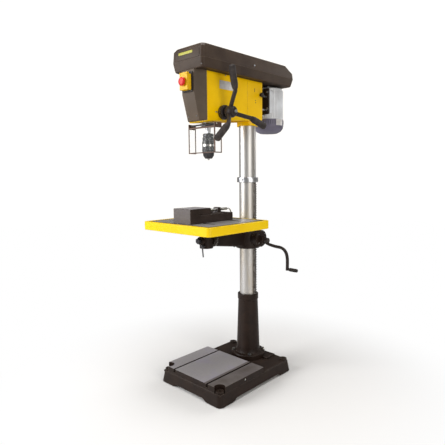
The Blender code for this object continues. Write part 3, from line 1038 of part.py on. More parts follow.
def make_cover():
    split = COVER_SPLIT - GAP / 2
    pan = cover_shell(((0.0095, COVER_BOTTOM, COVER_BACK - 0.014),
                       (0.0065, COVER_BOTTOM + 0.004, COVER_BACK - 0.011),
                       (0.0, split, COVER_BACK)), True)
    cut(pan, cylinder(0.034, 1.5, 1.595, "Z", (0, SPINDLE_Y), 24))
    cut(pan, cylinder(0.010 + GAP, 1.5, 1.595, "Z", (0, IDLER_PIVOT_Y), 24))
    slot = rounded(rectangle(-0.030, 0.030, MOTOR_Y - 0.045, MOTOR_Y + 0.035), 0.028, 5)
    cut(pan, prism([slot], "Z", 1.5, 1.595))
    lid = cover_shell(((0.0, split + GAP, COVER_BACK), (0.003, COVER_TOP - 0.014, COVER_BACK - 0.003, 1.655),
                       (0.013, COVER_TOP, COVER_BACK - 0.055)), False)
    cut(pan, block((-0.2, -0.5, split), (0.2, 0.4, split + 0.02)))
    cut(lid, block((-0.2, -0.5, split - 0.02), (0.2, 0.4, split + GAP)))
    wall_x = -COVER_HALF_WIDTH + 0.0015
    for y in (-0.405, 0.210):
        low_x = COVER_HINGE_X - 0.006
        join(pan, block((low_x, y, COVER_SPLIT - 0.012), (wall_x, y + 0.012, COVER_SPLIT - 0.0005)))
        join(pan, cylinder(0.006, y, y + 0.012, "Y", (COVER_HINGE_X, COVER_SPLIT), 16))
        join(pan, cylinder(HINGE_PIN_RADIUS, y + 0.002, y + 0.030, "Y", (COVER_HINGE_X, COVER_SPLIT), 12))
        join(lid, block((low_x, y + 0.0125, COVER_SPLIT + 0.0005), (wall_x, y + 0.028, COVER_SPLIT + 0.012)))
        join(lid, cylinder(0.006, y + 0.0125, y + 0.028, "Y", (COVER_HINGE_X, COVER_SPLIT), 16))
    for y in (-0.405, 0.210):
        cut(lid, cylinder(HINGE_PIN_RADIUS + GAP, y, y + 0.04, "Y", (COVER_HINGE_X, COVER_SPLIT), 16))
    part("pulley_pan", pan, "black_plastic")
    part("pulley_lid", lid, "black_plastic", "lid_hinge")


def pulley_profile(steps, bore, sleeve_bottom=None, sleeve=None):
    """A stepped pulley, bottom step first in steps, with a V groove in each step."""
    profile = []
    top = PULLEY_BOTTOM + PULLEY_STEP * len(steps)
    profile.append((bore, top))
    for k in reversed(range(len(steps))):
        radius, low = steps[k], PULLEY_BOTTOM + PULLEY_STEP * k
        high, middle = low + PULLEY_STEP, low + PULLEY_STEP / 2
        floor = radius - GROOVE_DEPTH
        profile += [(radius, high), (radius, middle + 0.0062), (floor, middle + 0.0045),
                    (floor, middle - 0.0045), (radius, middle - 0.0062)]
    profile.append((steps[0], PULLEY_BOTTOM))
    if sleeve:
        profile += [(sleeve, PULLEY_BOTTOM), (sleeve, sleeve_bottom), (bore, sleeve_bottom)]
    else:
        profile.append((bore, PULLEY_BOTTOM))
    return profile


def belt(first_y, first_radius, second_y, second_radius, height):
    """A belt round two pulleys, as an outer and an inner loop."""
    loops = []
    for offset in (-0.0003, -GROOVE_DEPTH + 0.0006):
        r1, r2 = first_radius + offset, second_radius + offset
        lean = math.asin((r1 - r2) / (second_y - first_y))
        loop = []
        for centre, radius, start, end in ((first_y, r1, math.pi - lean, 2 * math.pi + lean),
                                           (second_y, r2, lean, math.pi - lean)):
            steps = 20
            for step in range(steps + 1):
                angle = start + (end - start) * step / steps
                loop.append((radius * math.cos(angle), centre + radius * math.sin(angle)))
        loops.append(loop)
    return prism(loops, "Z", height - BELT_HALF_HEIGHT, height + BELT_HALF_HEIGHT)


def make_drive():
    profile = pulley_profile(SPINDLE_STEPS, SPINDLE_RADIUS + GAP, SLEEVE_BOTTOM, SLEEVE_RADIUS)
    part("spindle_pulley", turned(profile, "Z", (0, SPINDLE_Y), 20, closed=True), "motor_alloy",
         "spindle_pulley_spin")
    profile = pulley_profile(IDLER_STEPS, AXLE_RADIUS + GAP)
    part("idler_pulley", turned(profile, "Z", (0, IDLER_Y), 20, closed=True), "motor_alloy", "idler_spin")
    axle_top = PULLEY_BOTTOM + PULLEY_STEP * len(IDLER_STEPS) + 0.003
    arm_top = PULLEY_BOTTOM - GAP
    arm = block((-0.013, IDLER_PIVOT_Y - 0.013, arm_top - 0.007), (0.013, IDLER_Y + 0.013, arm_top))
    bevel(arm, 0.003, 1, 60)
    join(arm, cylinder(AXLE_RADIUS, arm_top - 0.003, axle_top, "Z", (0, IDLER_Y), 24))
    join(arm, cylinder(0.010, HEAD_TOP - 0.028, arm_top - 0.003, "Z", (0, IDLER_PIVOT_Y), 24))
    part("idler_arm", arm, "dark_casting", "idler_swing")
    # The motor's shaft and its pulley turn as one piece.
    profile = pulley_profile(MOTOR_STEPS, 0)
    profile = profile[:-1] + [(AXLE_RADIUS, PULLEY_BOTTOM), (AXLE_RADIUS, MOTOR_TOP - 0.020),
                              (0, MOTOR_TOP - 0.020)]
    part("motor_pulley", turned(profile, "Z", (0, MOTOR_Y), 20), "motor_alloy", "motor_spin")
    for name, first, first_steps, second, second_steps, step in (
            ("front_belt", SPINDLE_Y, SPINDLE_STEPS, IDLER_Y, IDLER_STEPS, FRONT_BELT_STEP),
            ("rear_belt", IDLER_Y, IDLER_STEPS, MOTOR_Y, MOTOR_STEPS, REAR_BELT_STEP)):
        height = PULLEY_BOTTOM + PULLEY_STEP * (step + 0.5)
        part(name, belt(first, first_steps[step], second, second_steps[step], height), "belt_rubber")


def make_motor():
    low, high = ROD_HEIGHTS[1] - 0.022, HEAD_TOP - 0.022
    outline = rounded(rectangle(-MOUNT_HALF_WIDTH, MOUNT_HALF_WIDTH, low, high), 0.008, 3)
    back = MOUNT_FRONT + MOUNT_THICKNESS
    mount = prism([outline], "Y", MOUNT_FRONT, back)
    for height in ROD_HEIGHTS:
        for side in (-1, 1):
            join(mount, cylinder(ROD_RADIUS, -0.020, back - 0.002, "Y", (side * ROD_X, height), 16))
    part("motor_mount", mount, "dark_casting", "motor_slide")
    flange = FAN_COVER_RADIUS - 0.003 - GAP
    profile = [(0, MOTOR_TOP), (MOTOR_RADIUS - 0.006, MOTOR_TOP), (MOTOR_RADIUS, MOTOR_TOP - 0.006),
               (MOTOR_RADIUS, FAN_COVER_TOP + 0.004), (flange, FAN_COVER_TOP - 0.001),
               (flange, MOTOR_BOTTOM), (0, MOTOR_BOTTOM)]
    body = turned(profile, "Z", (0, MOTOR_Y), 28)
    foot = MOUNT_HALF_WIDTH - 0.006
    feet = block((-foot, back + GAP, low + 0.006), (foot, MOTOR_Y, high - 0.010))
    bevel(feet, 0.004, 2, 60)
    join(body, feet)
    cut(body, cylinder(AXLE_RADIUS + GAP, MOTOR_TOP - 0.022, MOTOR_TOP + 0.01, "Z", (0, MOTOR_Y), 24))
    part("motor_body", body, "motor_alloy", "motor_slide")
    outer, low, high, wall = FAN_COVER_RADIUS, FAN_COVER_BOTTOM, FAN_COVER_TOP, 0.003
    profile = [(outer - wall, high), (outer, high), (outer, low + 0.040), (outer - 0.004, low + 0.024),
               (outer - 0.016, low + 0.009), (outer - 0.034, low), (0, low), (0, low + wall),
               (outer - 0.036, low + wall), (outer - 0.018, low + 0.011), (outer - 0.007, low + 0.025),
               (outer - wall, low + 0.041)]
    fan_cover = turned(profile, "Z", (0, MOTOR_Y), 28, closed=True)
    part("motor_fan_cover", fan_cover, "black_plastic", "motor_slide")
    stem_end = ROD_X + ROD_RADIUS + GAP - HEAD_HALF_WIDTH
    profile = [(0, 0.020), (KNOB_RADIUS - 0.002, 0.020), (KNOB_RADIUS, 0.018), (KNOB_RADIUS, 0.008),
               (0.007, 0.005), (0.006, GAP), (0.004, GAP), (0.004, stem_end), (0, stem_end)]
    profile = [(r, HEAD_HALF_WIDTH + z) for r, z in profile]
    part("tension_knob", turned(profile, "X", (KNOB_Y, ROD_HEIGHTS[0]), 20), "black_plastic", "knob_turn")


for make in (make_base, make_pedestal, make_column, make_rack, make_bracket, make_lift_gears, make_crank,
             make_tilt_bracket, make_table, make_vise, make_head, make_nose, make_switch, make_quill,
             make_chuck, make_guard, make_feed, make_spring_cap, make_cover, make_drive, make_motor):
    make()


def centre_footprint():
    """Moves the machine so that the middle of its box, seen from above, is the origin."""
    bpy.context.view_layer.update()
    depsgraph = bpy.context.evaluated_depsgraph_get()
    places = []
    for shape in parts.objects:
        if shape.type == "MESH":
            evaluated = shape.evaluated_get(depsgraph)
            places += [evaluated.matrix_world @ Vector(corner) for corner in evaluated.bound_box]
    for axis in (0, 1):
        values = [place[axis] for place in places]
        machine.location[axis] = -(min(values) + max(values)) / 2
    bpy.context.view_layer.update()


centre_footprint()
print("machine moved by", tuple(round(v, 6) for v in machine.location))
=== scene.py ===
# %% [markdown]
# # A floor-standing drill press, finished
# The press is already built as a frame of plain metal and plastic shapes that turn and slide on their joints.
# This lesson gives every surface its finish and adds the small pieces that a maker fits last: screws, plates,
# knurls and scales. Nothing in the frame is moved. Each added piece rides on one moving body.

# %% Load the frame
import json
from math import cos, radians, sin, tau

import bmesh
import bpy
from mathutils import Matrix, Vector
from mathutils.bvhtree import BVHTree

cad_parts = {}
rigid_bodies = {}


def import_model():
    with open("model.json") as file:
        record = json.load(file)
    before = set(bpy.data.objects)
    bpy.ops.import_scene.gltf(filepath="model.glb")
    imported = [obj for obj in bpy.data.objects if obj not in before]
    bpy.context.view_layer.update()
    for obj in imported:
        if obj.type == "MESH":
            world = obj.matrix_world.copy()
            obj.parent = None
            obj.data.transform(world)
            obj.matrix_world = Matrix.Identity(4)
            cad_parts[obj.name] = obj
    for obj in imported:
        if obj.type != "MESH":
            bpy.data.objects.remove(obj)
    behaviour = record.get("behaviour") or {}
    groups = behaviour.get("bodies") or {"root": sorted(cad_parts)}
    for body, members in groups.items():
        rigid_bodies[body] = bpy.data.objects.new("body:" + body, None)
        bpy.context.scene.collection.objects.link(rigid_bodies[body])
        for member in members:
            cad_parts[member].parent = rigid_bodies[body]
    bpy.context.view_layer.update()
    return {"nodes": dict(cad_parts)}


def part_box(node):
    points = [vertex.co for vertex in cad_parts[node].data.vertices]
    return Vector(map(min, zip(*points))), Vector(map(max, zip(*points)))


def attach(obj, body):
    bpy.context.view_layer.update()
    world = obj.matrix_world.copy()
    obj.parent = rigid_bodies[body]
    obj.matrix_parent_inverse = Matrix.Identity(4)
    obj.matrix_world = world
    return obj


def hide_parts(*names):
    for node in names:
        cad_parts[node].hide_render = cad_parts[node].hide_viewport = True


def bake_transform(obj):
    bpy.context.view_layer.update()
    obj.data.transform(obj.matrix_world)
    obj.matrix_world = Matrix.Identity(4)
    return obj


for old in list(bpy.data.objects):
    bpy.data.objects.remove(old)
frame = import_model()

# %% [markdown]
# ## Where things are
# Places are counted from the frame's own pieces. `spot` gives a point of a piece's box: 0 is its low side, 1
# its high side and 0.5 its middle, and the last three numbers are metres to go from there. `from_column`
# counts across and along from the column's axis and up from the floor.

# %% Points on the frame
def spot(node, across, along, up, dx=0.0, dy=0.0, dz=0.0):
    low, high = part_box(node)
    share = (across, along, up)
    return Vector([a + (b - a) * s + d for a, b, s, d in zip(low, high, share, (dx, dy, dz))])


COLUMN = spot("column_tube", 0.5, 0.5, 0)


def from_column(x, y, z):
    return Vector((COLUMN.x + x, COLUMN.y + y, z))


CHUCK = spot("chuck_body", 0.5, 0.5, 0)
SIDE = spot("head_casting", 1, 0.5, 0).x
TABLE_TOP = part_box("table_casting")[1].z


def on_head_side(y, z):
    """A point on the head's right side, y behind the column's axis."""
    return Vector((SIDE, COLUMN.y + y, z))


print("column at", [round(c, 4) for c in COLUMN], "and chuck at", [round(c, 4) for c in CHUCK])

# %% [markdown]
# ## Camera
# A camera a little over a metre from the floor looks at the machine from the operator's right. It is turned
# 43.6 degrees to the left, tipped 6.3 degrees down and rolled by half a degree.

# %% Set up the camera
def new_object(name, data):
    """An object in the scene, from its name and its mesh, lamp or camera."""
    made = bpy.data.objects.new(name, data)
    bpy.context.scene.collection.objects.link(made)
    return made


CAMERA_PLACE = from_column(1.5658, -1.849, 1.096)
TURN, TIP, ROLL = radians(43.59), radians(-6.28), radians(-0.56)
FOCAL_LENGTH, SENSOR_WIDTH = 35.33, 36.0  # millimetres

ahead = Vector((-sin(TURN) * cos(TIP), cos(TURN) * cos(TIP), sin(TIP)))
level = Vector((cos(TURN), sin(TURN), 0))
upright = level.cross(ahead)
right = level * cos(ROLL) + upright * sin(ROLL)
top = upright * cos(ROLL) - level * sin(ROLL)
camera = new_object("camera", bpy.data.cameras.new("camera"))
camera.data.lens, camera.data.sensor_width = FOCAL_LENGTH, SENSOR_WIDTH
camera.matrix_world = Matrix.Translation(CAMERA_PLACE) @ Matrix((right, top, -ahead)).transposed().to_4x4()
bpy.context.scene.camera = camera
print("camera stands", round((CAMERA_PLACE - COLUMN).length, 2), "m from the foot of the column")

# %% [markdown]
# ## Light
# A studio lights dark enamel and bright steel with large soft boxes, because both mirror what is round them.
# The main one is in front on the operator's left, a weaker one fills the right side, a third hangs overhead
# and a fourth stands behind. The world is white to the eye but gives little light, so dark iron stays dark.

# %% Set up the lights and the world
def soft_box(name, place, aim, size, power, colour=(1.0, 1.0, 1.0)):
    lamp = bpy.data.lights.new(name, "AREA")
    lamp.shape, lamp.size, lamp.size_y = "RECTANGLE", *size
    lamp.energy, lamp.color = power, colour
    turn = (aim - place).to_track_quat("-Z", "Y").to_matrix().to_4x4()
    new_object(name, lamp).matrix_world = Matrix.Translation(place) @ turn


middle = from_column(0, -0.1, 1.0)
soft_box("main_light", from_column(-1.7, -3.0, 2.0), middle, (2.4, 2.4), 135)
soft_box("side_light", from_column(3.1, -1.0, 1.7), middle, (1.7, 2.4), 52, (1.0, 0.97, 0.92))
soft_box("high_light", from_column(0.2, -0.3, 3.6), middle, (2.0, 2.0), 62)
soft_box("back_light", from_column(0.6, 3.0, 2.2), middle, (1.6, 1.6), 30)

world = bpy.data.worlds.new("studio")
bpy.context.scene.world = world
world.use_nodes = True
SEEN, LIT = 1.06, 0.14  # the world's strength to the eye and as light
sky = world.node_tree.nodes["Background"]
sky.inputs["Color"].default_value = (1.0, 0.98, 0.95, 1)
path = world.node_tree.nodes.new("ShaderNodeLightPath")
brightness = world.node_tree.nodes.new("ShaderNodeMapRange")
brightness.inputs["To Min"].default_value = LIT
brightness.inputs["To Max"].default_value = SEEN
world.node_tree.links.new(path.outputs["Is Camera Ray"], brightness.inputs["Value"])
world.node_tree.links.new(brightness.outputs["Result"], sky.inputs["Strength"])
bpy.context.scene.view_settings.view_transform = "Standard"

# %% [markdown]
# ## Shader sums
# Finishes are noise and a little arithmetic. Arithmetic drawn as boxes and wires is hard to read back, so a
# socket is wrapped in a class whose `+`, `-` and `*` add the Math nodes for us.

# %% The socket class
def maths(operation, swapped=False):
    """A method that adds one Math node; swapped puts the other value first."""
    def method(self, other=None):
        terms = (other, self) if swapped else (self, other)
        values = {place: term for place, term in enumerate(terms) if term is not None}
        return self.finish.add("ShaderNodeMath", values, operation=operation)
    return method


class Socket:
    """A value in a node tree. above and below give 1 where they hold and 0 elsewhere."""

    def __init__(self, finish, socket):
        self.finish, self.socket = finish, socket

    __add__ = __radd__ = maths("ADD")
    __mul__ = __rmul__ = maths("MULTIPLY")
    __sub__, __rsub__ = maths("SUBTRACT"), maths("SUBTRACT", swapped=True)
    above, below = maths("GREATER_THAN"), maths("LESS_THAN")
    lesser, greater, absolute = maths("MINIMUM"), maths("MAXIMUM"), maths("ABSOLUTE")

    def fade(self, start, end):
        """0 before start and 1 after end, with a smooth turn between."""
        return self.finish.add("ShaderNodeMapRange", {"Value": self, 1: start, 2: end},
                               interpolation_type="SMOOTHSTEP")


print("a socket can", [word for word in vars(Socket) if not word.startswith("_")])

# %% [markdown]
# ## A finish under construction
# `add` makes any node from its type, the values or links of its sockets, and its settings, which come first
# because they decide which sockets there are. A finish has what most surfaces need: noise that is fixed to
# the piece, rounded corners that catch the light, a mask of edges that carries wear on most finishes and a
# painted highlight on the plastics, and bumps.

# %% The finish class
class Graph:
    """Anything made of nodes: it adds a node and wires its sockets."""

    def add(self, kind, sockets=None, output=0, **settings):
        node = self.tree.nodes.new(kind)
        for key, value in settings.items():
            setattr(node, key, value)
        for key, value in (sockets or {}).items():
            self.feed(node.inputs[key], value)
        return Socket(self, node.outputs[output])

    def feed(self, target, value):
        if isinstance(value, Socket):
            self.tree.links.new(value.socket, target)
        elif target.type == "RGBA":
            target.default_value = (*value, 1.0)
        else:
            target.default_value = value


class Finish(Graph):
    """A material under construction, with one surface shader."""

    def __init__(self, name):
        self.material = bpy.data.materials.new(name)
        self.material.use_nodes = True
        self.tree = self.material.node_tree
        self.shader = self.tree.nodes["Principled BSDF"]

    def surface(self, **values):
        """Sets the surface shader's sockets: Base_Color stands for Base Color."""
        for key, value in values.items():
            self.feed(self.shader.inputs[key.replace("_", " ")], value)
        return self.material

    def place(self, stretch=(1, 1, 1), middle=(0, 0, 0)):
        """The point on the piece, in metres, from a middle and with each axis stretched."""
        point = self.add("ShaderNodeTexCoord", output="Object")
        offset = tuple(-m * s for m, s in zip(middle, stretch))
        return self.add("ShaderNodeMapping", {"Vector": point, "Location": offset, "Scale": stretch})

    def axes(self, vector):
        """The three numbers of a vector."""
        node = self.tree.nodes.new("ShaderNodeSeparateXYZ")
        self.feed(node.inputs[0], vector)
        return [Socket(self, o) for o in node.outputs]

    def noise(self, per_metre, detail=3.0, rough=0.55, stretch=(1, 1, 1)):
        return self.add("ShaderNodeTexNoise", {"Vector": self.place(stretch), "Scale": per_metre,
                                               "Detail": detail, "Roughness": rough})

    def mix(self, share, first, second):
        """One colour changing into another as share goes from 0 to 1."""
        return self.add("ShaderNodeMix", {0: share, 6: first, 7: second}, output=2, data_type="RGBA")

    def facing(self):
        """Which way the surface points on the piece at rest, so that a tilted table keeps its ground top."""
        return self.axes(self.add("ShaderNodeTexCoord", output="Normal"))

    def softened(self, radius):
        """The surface direction with every sharp edge rounded off by a radius."""
        return self.add("ShaderNodeBevel", {"Radius": radius}, samples=6)

    def edge_mask(self, radius, amount=1.0):
        """1 on the edges and corners, where hands and work rub, broken up by noise, and 0 elsewhere; the
        plastics use it for a painted highlight.
        """
        plain = self.add("ShaderNodeNewGeometry", output="Normal")
        turned = self.add("ShaderNodeVectorMath", {0: self.softened(radius), 1: plain}, output="Value",
                          operation="DOT_PRODUCT")
        rubbed = (1 - turned) * 6 * amount + (self.noise(170, 4) - 0.62)
        return rubbed.fade(0.12, 0.3)

    def bumps(self, height, depth, radius=0.0012):
        """The surface direction over bumps that are depth metres tall."""
        return self.add("ShaderNodeBump", {"Height": height, "Distance": depth, "Strength": 1.0,
                                           "Normal": self.softened(radius)})


print("a finish can", [word for word in vars(Finish) if not word.startswith("_")])

# %% [markdown]
# ## Putting a finish on the frame
# The frame's meshes arrive as loose triangles. Three modifiers make them look like one turned or cast surface
# without touching a vertex: Weld joins the triangles, Edge Split keeps corners of over 32 degrees crisp, and
# Weighted Normal lets large flat faces win over the narrow bevels beside them, so that they shade flat.

# %% Smooth the frame's nodes and dress them
CRISP_CORNER = radians(32)


def forget_normals(mesh):
    if "custom_normal" in mesh.attributes:
        mesh.attributes.remove(mesh.attributes["custom_normal"])


def smooth(piece):
    forget_normals(piece.data)
    piece.data.shade_smooth()
    weld = piece.modifiers.new("weld", "WELD")
    weld.merge_threshold = 0.00001
    split = piece.modifiers.new("crisp corners", "EDGE_SPLIT")
    split.split_angle = CRISP_CORNER
    split.use_edge_sharp = False
    flat = piece.modifiers.new("flat faces stay flat", "WEIGHTED_NORMAL")
    flat.weight = 100


dressed = []


def dress(material, *nodes):
    """Gives frame nodes their finish through their material slots."""
    for name in nodes:
        for place in frame["nodes"][name].material_slots:
            place.material = material
        dressed.append(name)


for node in frame["nodes"].values():
    smooth(node)
print(len(frame["nodes"]), "nodes smoothed")

# %% [markdown]
# ## Cast iron in dark enamel
# The pedestal, the table bracket and the handle's arms are sand castings sprayed with a brown-black enamel.
# Paint fills the pits of the sand but not the long waves, so the bump has two sizes. Dust settles on
# faces that look up, and the corners are rubbed through to a paler primer.

# %% Dark enamel
ENAMEL, ENAMEL_SHADE, DUST = (0.022, 0.012, 0.008), (0.013, 0.007, 0.005), (0.056, 0.041, 0.033)
PRIMER = (0.085, 0.066, 0.052)


def dark_enamel(name, colour=ENAMEL, shade=ENAMEL_SHADE, grain=1.0, gloss=0.36, dust=0.35, wear=0.55):
    f = Finish(name)
    sand, wave, cloud = f.noise(900, 2), f.noise(120, 3), f.noise(14, 4)
    painted = f.mix(cloud.fade(0.3, 0.7), shade, colour)
    settled = f.facing()[2].fade(0.55, 1.0) * dust * cloud.fade(0.35, 0.75)
    painted = f.mix(settled, painted, DUST)
    rubbed = f.edge_mask(0.0022, wear)
    base = f.mix(rubbed, painted, PRIMER)
    height = sand * 0.35 + wave * 0.65
    return f.surface(Base_Color=base, Roughness=gloss + cloud * 0.16 + settled * 0.35 + rubbed * 0.15,
                     Normal=f.bumps(height, 0.0007 * grain), Specular_IOR_Level=0.18)


enamel = dark_enamel("dark_enamel")
smooth_enamel = dark_enamel("smooth_dark_enamel", (0.036, 0.027, 0.025), (0.024, 0.018, 0.017),
                            grain=0.35, gloss=0.3, dust=0.2, wear=0.8)
dress(enamel, "column_pedestal", "table_bracket", "tilt_bracket", "idler_arm")
dress(smooth_enamel, "crank_arm", "feed_hub", *[f"feed_arm_{k}" for k in (1, 2, 3)])
print("enamelled:", dressed)

# %% [markdown]
# ## Machined faces on enamelled castings
# The base and the vise are enamelled all over, and then their tops are ground flat. A mask made of height and
# of facing upwards changes the paint to bare iron, exactly where a grinder would reach. Fine scratches run
# along one axis, with a bluish cast where the iron has been oiled. On the base the ground iron right of a
# strip is painted darker, as shade.

# %% Machined tops
IRON, IRON_SHADE, OILED = (0.62, 0.59, 0.6), (0.42, 0.395, 0.4), (0.48, 0.44, 0.52)
# painted shade: ground iron coloured darker, as where it mirrors less light
PAINTED_SHADE_IRON = (0.135, 0.108, 0.092)
GRINDING_DEPTH = 0.0006  # metres below the highest face that still come out bare


def machined_iron_colour(f, along="x", iron=IRON, shade=IRON_SHADE, oiled=OILED):
    """The colour, roughness and scratch height of ground cast iron."""
    stretch = (0.06, 1, 1) if along == "x" else (1, 0.06, 1)
    scratches, stain = f.noise(1500, 3, 0.6, stretch), f.noise(11, 4)
    colour = f.mix(scratches.fade(0.3, 0.75), shade, iron)
    return f.mix(stain.fade(0.45, 0.75) * 0.8, colour, oiled), 0.34 + stain * 0.22, scratches


def enamel_with_ground_top(name, level, paint=ENAMEL, shade=ENAMEL_SHADE, painted_shade_from=9.0, front=0.0):
    """Ground above a level; right of the given x the bare iron is painted darker as shade, and front is the
    share of iron in front.
    """
    f = Finish(name)
    across, _, height = f.axes(f.place())
    _, looks_back, looks_up = f.facing()
    ground = height.above(level - GRINDING_DEPTH) * looks_up.above(0.93)
    ground = ground.greater(looks_back.below(-0.9) * front)
    bare, rough, scratches = machined_iron_colour(f)
    # the bare iron right of the strip is painted darker, as shade
    bare = f.mix(across.above(painted_shade_from) * (0.55 + f.noise(16) * 0.5), bare, PAINTED_SHADE_IRON)
    sand, wave, cloud = f.noise(800, 2), f.noise(110, 3), f.noise(13, 4)
    painted = f.mix(cloud.fade(0.3, 0.7), shade, paint)
    painted = f.mix(looks_up.fade(0.5, 1.0) * cloud * 0.45, painted, DUST)
    painted = f.mix(f.edge_mask(0.0022, 0.6), painted, PRIMER)
    bump = (sand * 0.3 + wave * 0.7) * (1 - ground) + scratches * ground * 0.05
    return f.surface(Base_Color=f.mix(ground, painted, bare), Metallic=ground * 0.55,
                     Roughness=rough * ground + (0.4 + cloud * 0.15) * (1 - ground),
                     Normal=f.bumps(bump, 0.0007), Specular_IOR_Level=0.18)


base_top, vise_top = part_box("base_casting")[1].z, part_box("vise_base")[1].z
# the x from which the base's ground top is painted darker, as shade
painted_shade_strip = from_column(0.1, 0, 0).x
dress(enamel_with_ground_top("base_enamel", base_top, painted_shade_from=painted_shade_strip), "base_casting")
vise_enamel = enamel_with_ground_top("vise_enamel", vise_top, (0.036, 0.024, 0.02), (0.024, 0.016, 0.013),
                                     front=0.2)
dress(vise_enamel, "vise_base", "vise_jaw")
print("ground tops at", round(base_top, 3), "and", round(vise_top, 3), "metres")

# %% [markdown]
# ## Yellow enamel
# The head and the table's rim are a warm cadmium yellow. Sprayed gloss paint is never quite flat: it keeps a
# soft orange peel a few millimetres across. A thin clear coat sharpens the highlight on the head, and the
# corners show a few small chips down to dark primer.

# %% Yellow enamel
YELLOW, YELLOW_DEEP = (0.92, 0.57, 0.001), (0.83, 0.49, 0.001)
RIM_YELLOW, RIM_DEEP = (0.9, 0.61, 0.004), (0.85, 0.56, 0.003)


def yellow_paint(f, peel_size=260.0, bright=YELLOW, deep=YELLOW_DEEP):
    """The colour, roughness and peel height of the yellow."""
    peel, cloud = f.noise(peel_size, 2), f.noise(7, 3)
    colour = f.mix(cloud.fade(0.3, 0.75), deep, bright)
    chips = f.edge_mask(0.0016, 0.42)
    return f.mix(chips, colour, (0.1, 0.06, 0.03)), 0.27 + cloud * 0.12 + chips * 0.3, peel


def yellow_enamel(name):
    f = Finish(name)
    colour, rough, peel = yellow_paint(f)
    f.shader.inputs["Coat Roughness"].default_value = 0.08
    return f.surface(Base_Color=colour, Roughness=rough, Normal=f.bumps(peel, 0.0002), Coat_Weight=0.06,
                     Specular_IOR_Level=0.14)


dress(yellow_enamel("yellow_enamel"), "head_casting")
print("yellow is", YELLOW)

# %% [markdown]
# ## The table
# The table is one casting with three finishes. Its rim is yellow, the coolant channel is coloured dark, and
# everything inside the channel is ground. The underside inside the rim wall is painted dark too, as shade.
# The channel lies at the same distance from all four edges, so the distance from the table's middle, taken
# along each axis, tells the three zones apart.

# %% The table's three finishes
CHANNEL_OUTER, CHANNEL_INNER = 0.02, 0.0315  # metres in from the edge
# inside the rim wall and below the depth the underside is painted dark, as shade
RIM_WALL, RIM_DEPTH = 0.008, 0.016  # the underside is dark inside the wall and below the depth
table_low, table_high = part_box("table_casting")


def table_finish():
    f = Finish("table_enamel_and_iron")
    centre = (table_low + table_high) / 2
    across, along, height = f.axes(f.place(middle=(centre.x, centre.y, 0)))
    reach = (table_high - table_low) / 2
    inset = (reach.x - across.absolute()).lesser(reach.y - along.absolute())
    faces_up = f.facing()[2].above(0.9)
    ground = faces_up * inset.above(CHANNEL_INNER) * height.above(TABLE_TOP - GRINDING_DEPTH)
    channel = inset.above(CHANNEL_OUTER) * (1 - ground)
    # under marks the underside, which is painted dark as shade
    under = height.below(TABLE_TOP - RIM_DEPTH) * inset.above(RIM_WALL)
    colour, rough, peel = yellow_paint(f, 200.0, RIM_YELLOW, RIM_DEEP)
    iron_colours = (0.56, 0.54, 0.52), (0.4, 0.385, 0.37), (0.42, 0.4, 0.42)
    bare, bare_rough, scratches = machined_iron_colour(f, "y", *iron_colours)
    # one dark colour for the coolant channel and, as painted shade, for the underside
    dark = f.mix(f.noise(30), (0.02, 0.014, 0.012), (0.045, 0.036, 0.032))
    painted = f.mix((channel + under).lesser(1.0), colour, dark)
    bump = peel * (1 - ground) + scratches * ground * 0.08
    return f.surface(Base_Color=f.mix(ground, painted, bare), Metallic=ground * 0.75,
                     Roughness=bare_rough * ground + rough * (1 - ground),
                     Normal=f.bumps(bump, 0.0004, 0.0025), Specular_IOR_Level=0.25)


dress(table_finish(), "table_casting")
print("table measures", [round(c, 3) for c in table_high - table_low])

# %% [markdown]
# ## Ground and turned steel
# The column is a ground tube: the wheel leaves rings a fraction of a millimetre apart that spread every
# highlight. Noise that hardly changes across the axis gives those rings. Slow patches of warmer steel stand
# for the oil film and for what a workshop mirrors in it.

# %% Steel with rings round a vertical axis
STEEL, STEEL_WARM = (0.62, 0.63, 0.66), (0.5, 0.46, 0.39)


def turned_steel(name, bright=STEEL, dull=STEEL_WARM, rings=1.0, rough=0.2):
    f = Finish(name)
    ring = f.noise(1400, 2, 0.5, (0.02, 0.02, 1))
    fine = f.noise(5200, 1, 0.5, (0.02, 0.02, 1))
    # oil film and painted reflection: slow upright patches of warmer steel
    oil_film_and_painted_reflection = f.noise(26, 3, 0.6, (1, 1, 0.12))
    colour = f.mix(oil_film_and_painted_reflection.fade(0.38, 0.72) * 0.55, bright, dull)
    colour = f.mix(ring.fade(0.55, 0.8) * 0.25, colour, tuple(c * 0.55 for c in bright))
    return f.surface(Base_Color=colour, Metallic=1.0, Roughness=rough + ring * 0.12 + oil_film_and_painted_reflection * 0.08,
                     Normal=f.bumps(ring * 0.6 + fine * 0.4, 0.00006 * rings, 0.0008))


dress(turned_steel("ground_column", (0.54, 0.53, 0.52), (0.5, 0.41, 0.27), rough=0.36), "column_tube")
dress(turned_steel("turned_steel", rings=2.0, rough=0.24), "rack_collar", "quill", "spindle")
dress(turned_steel("hard_jaw_steel", (0.44, 0.44, 0.45), (0.3, 0.27, 0.24), 1.0, 0.3),
      *[f"chuck_jaw_{k}" for k in (1, 2, 3)])
print("steel on", [n for n in dressed if "column_t" in n or "quill" in n or "jaw" in n])

# %% [markdown]
# ## Gears, bolts and oxide-black parts
# Cut gears stay bare and oily: dark, with brighter tips. Bolts are zinc plated, with a faint yellow and blue
# bloom. Small hardware is oxide black, a thin finish that wears to steel on every corner, so the worn-edge
# mask of the enamel is used with a metal under it.

# %% Gear iron, zinc and oxide black
def oiled_iron(name):
    f = Finish(name)
    grain, stain = f.noise(1100, 3, 0.6), f.noise(60, 3)
    colour = f.mix(stain.fade(0.35, 0.7), (0.21, 0.19, 0.17), (0.07, 0.055, 0.045))
    colour = f.mix(f.edge_mask(0.001, 1.4), colour, (0.42, 0.41, 0.4))
    return f.surface(Base_Color=colour, Metallic=0.85, Roughness=0.32 + grain * 0.2,
                     Normal=f.bumps(grain, 0.0001, 0.0005))


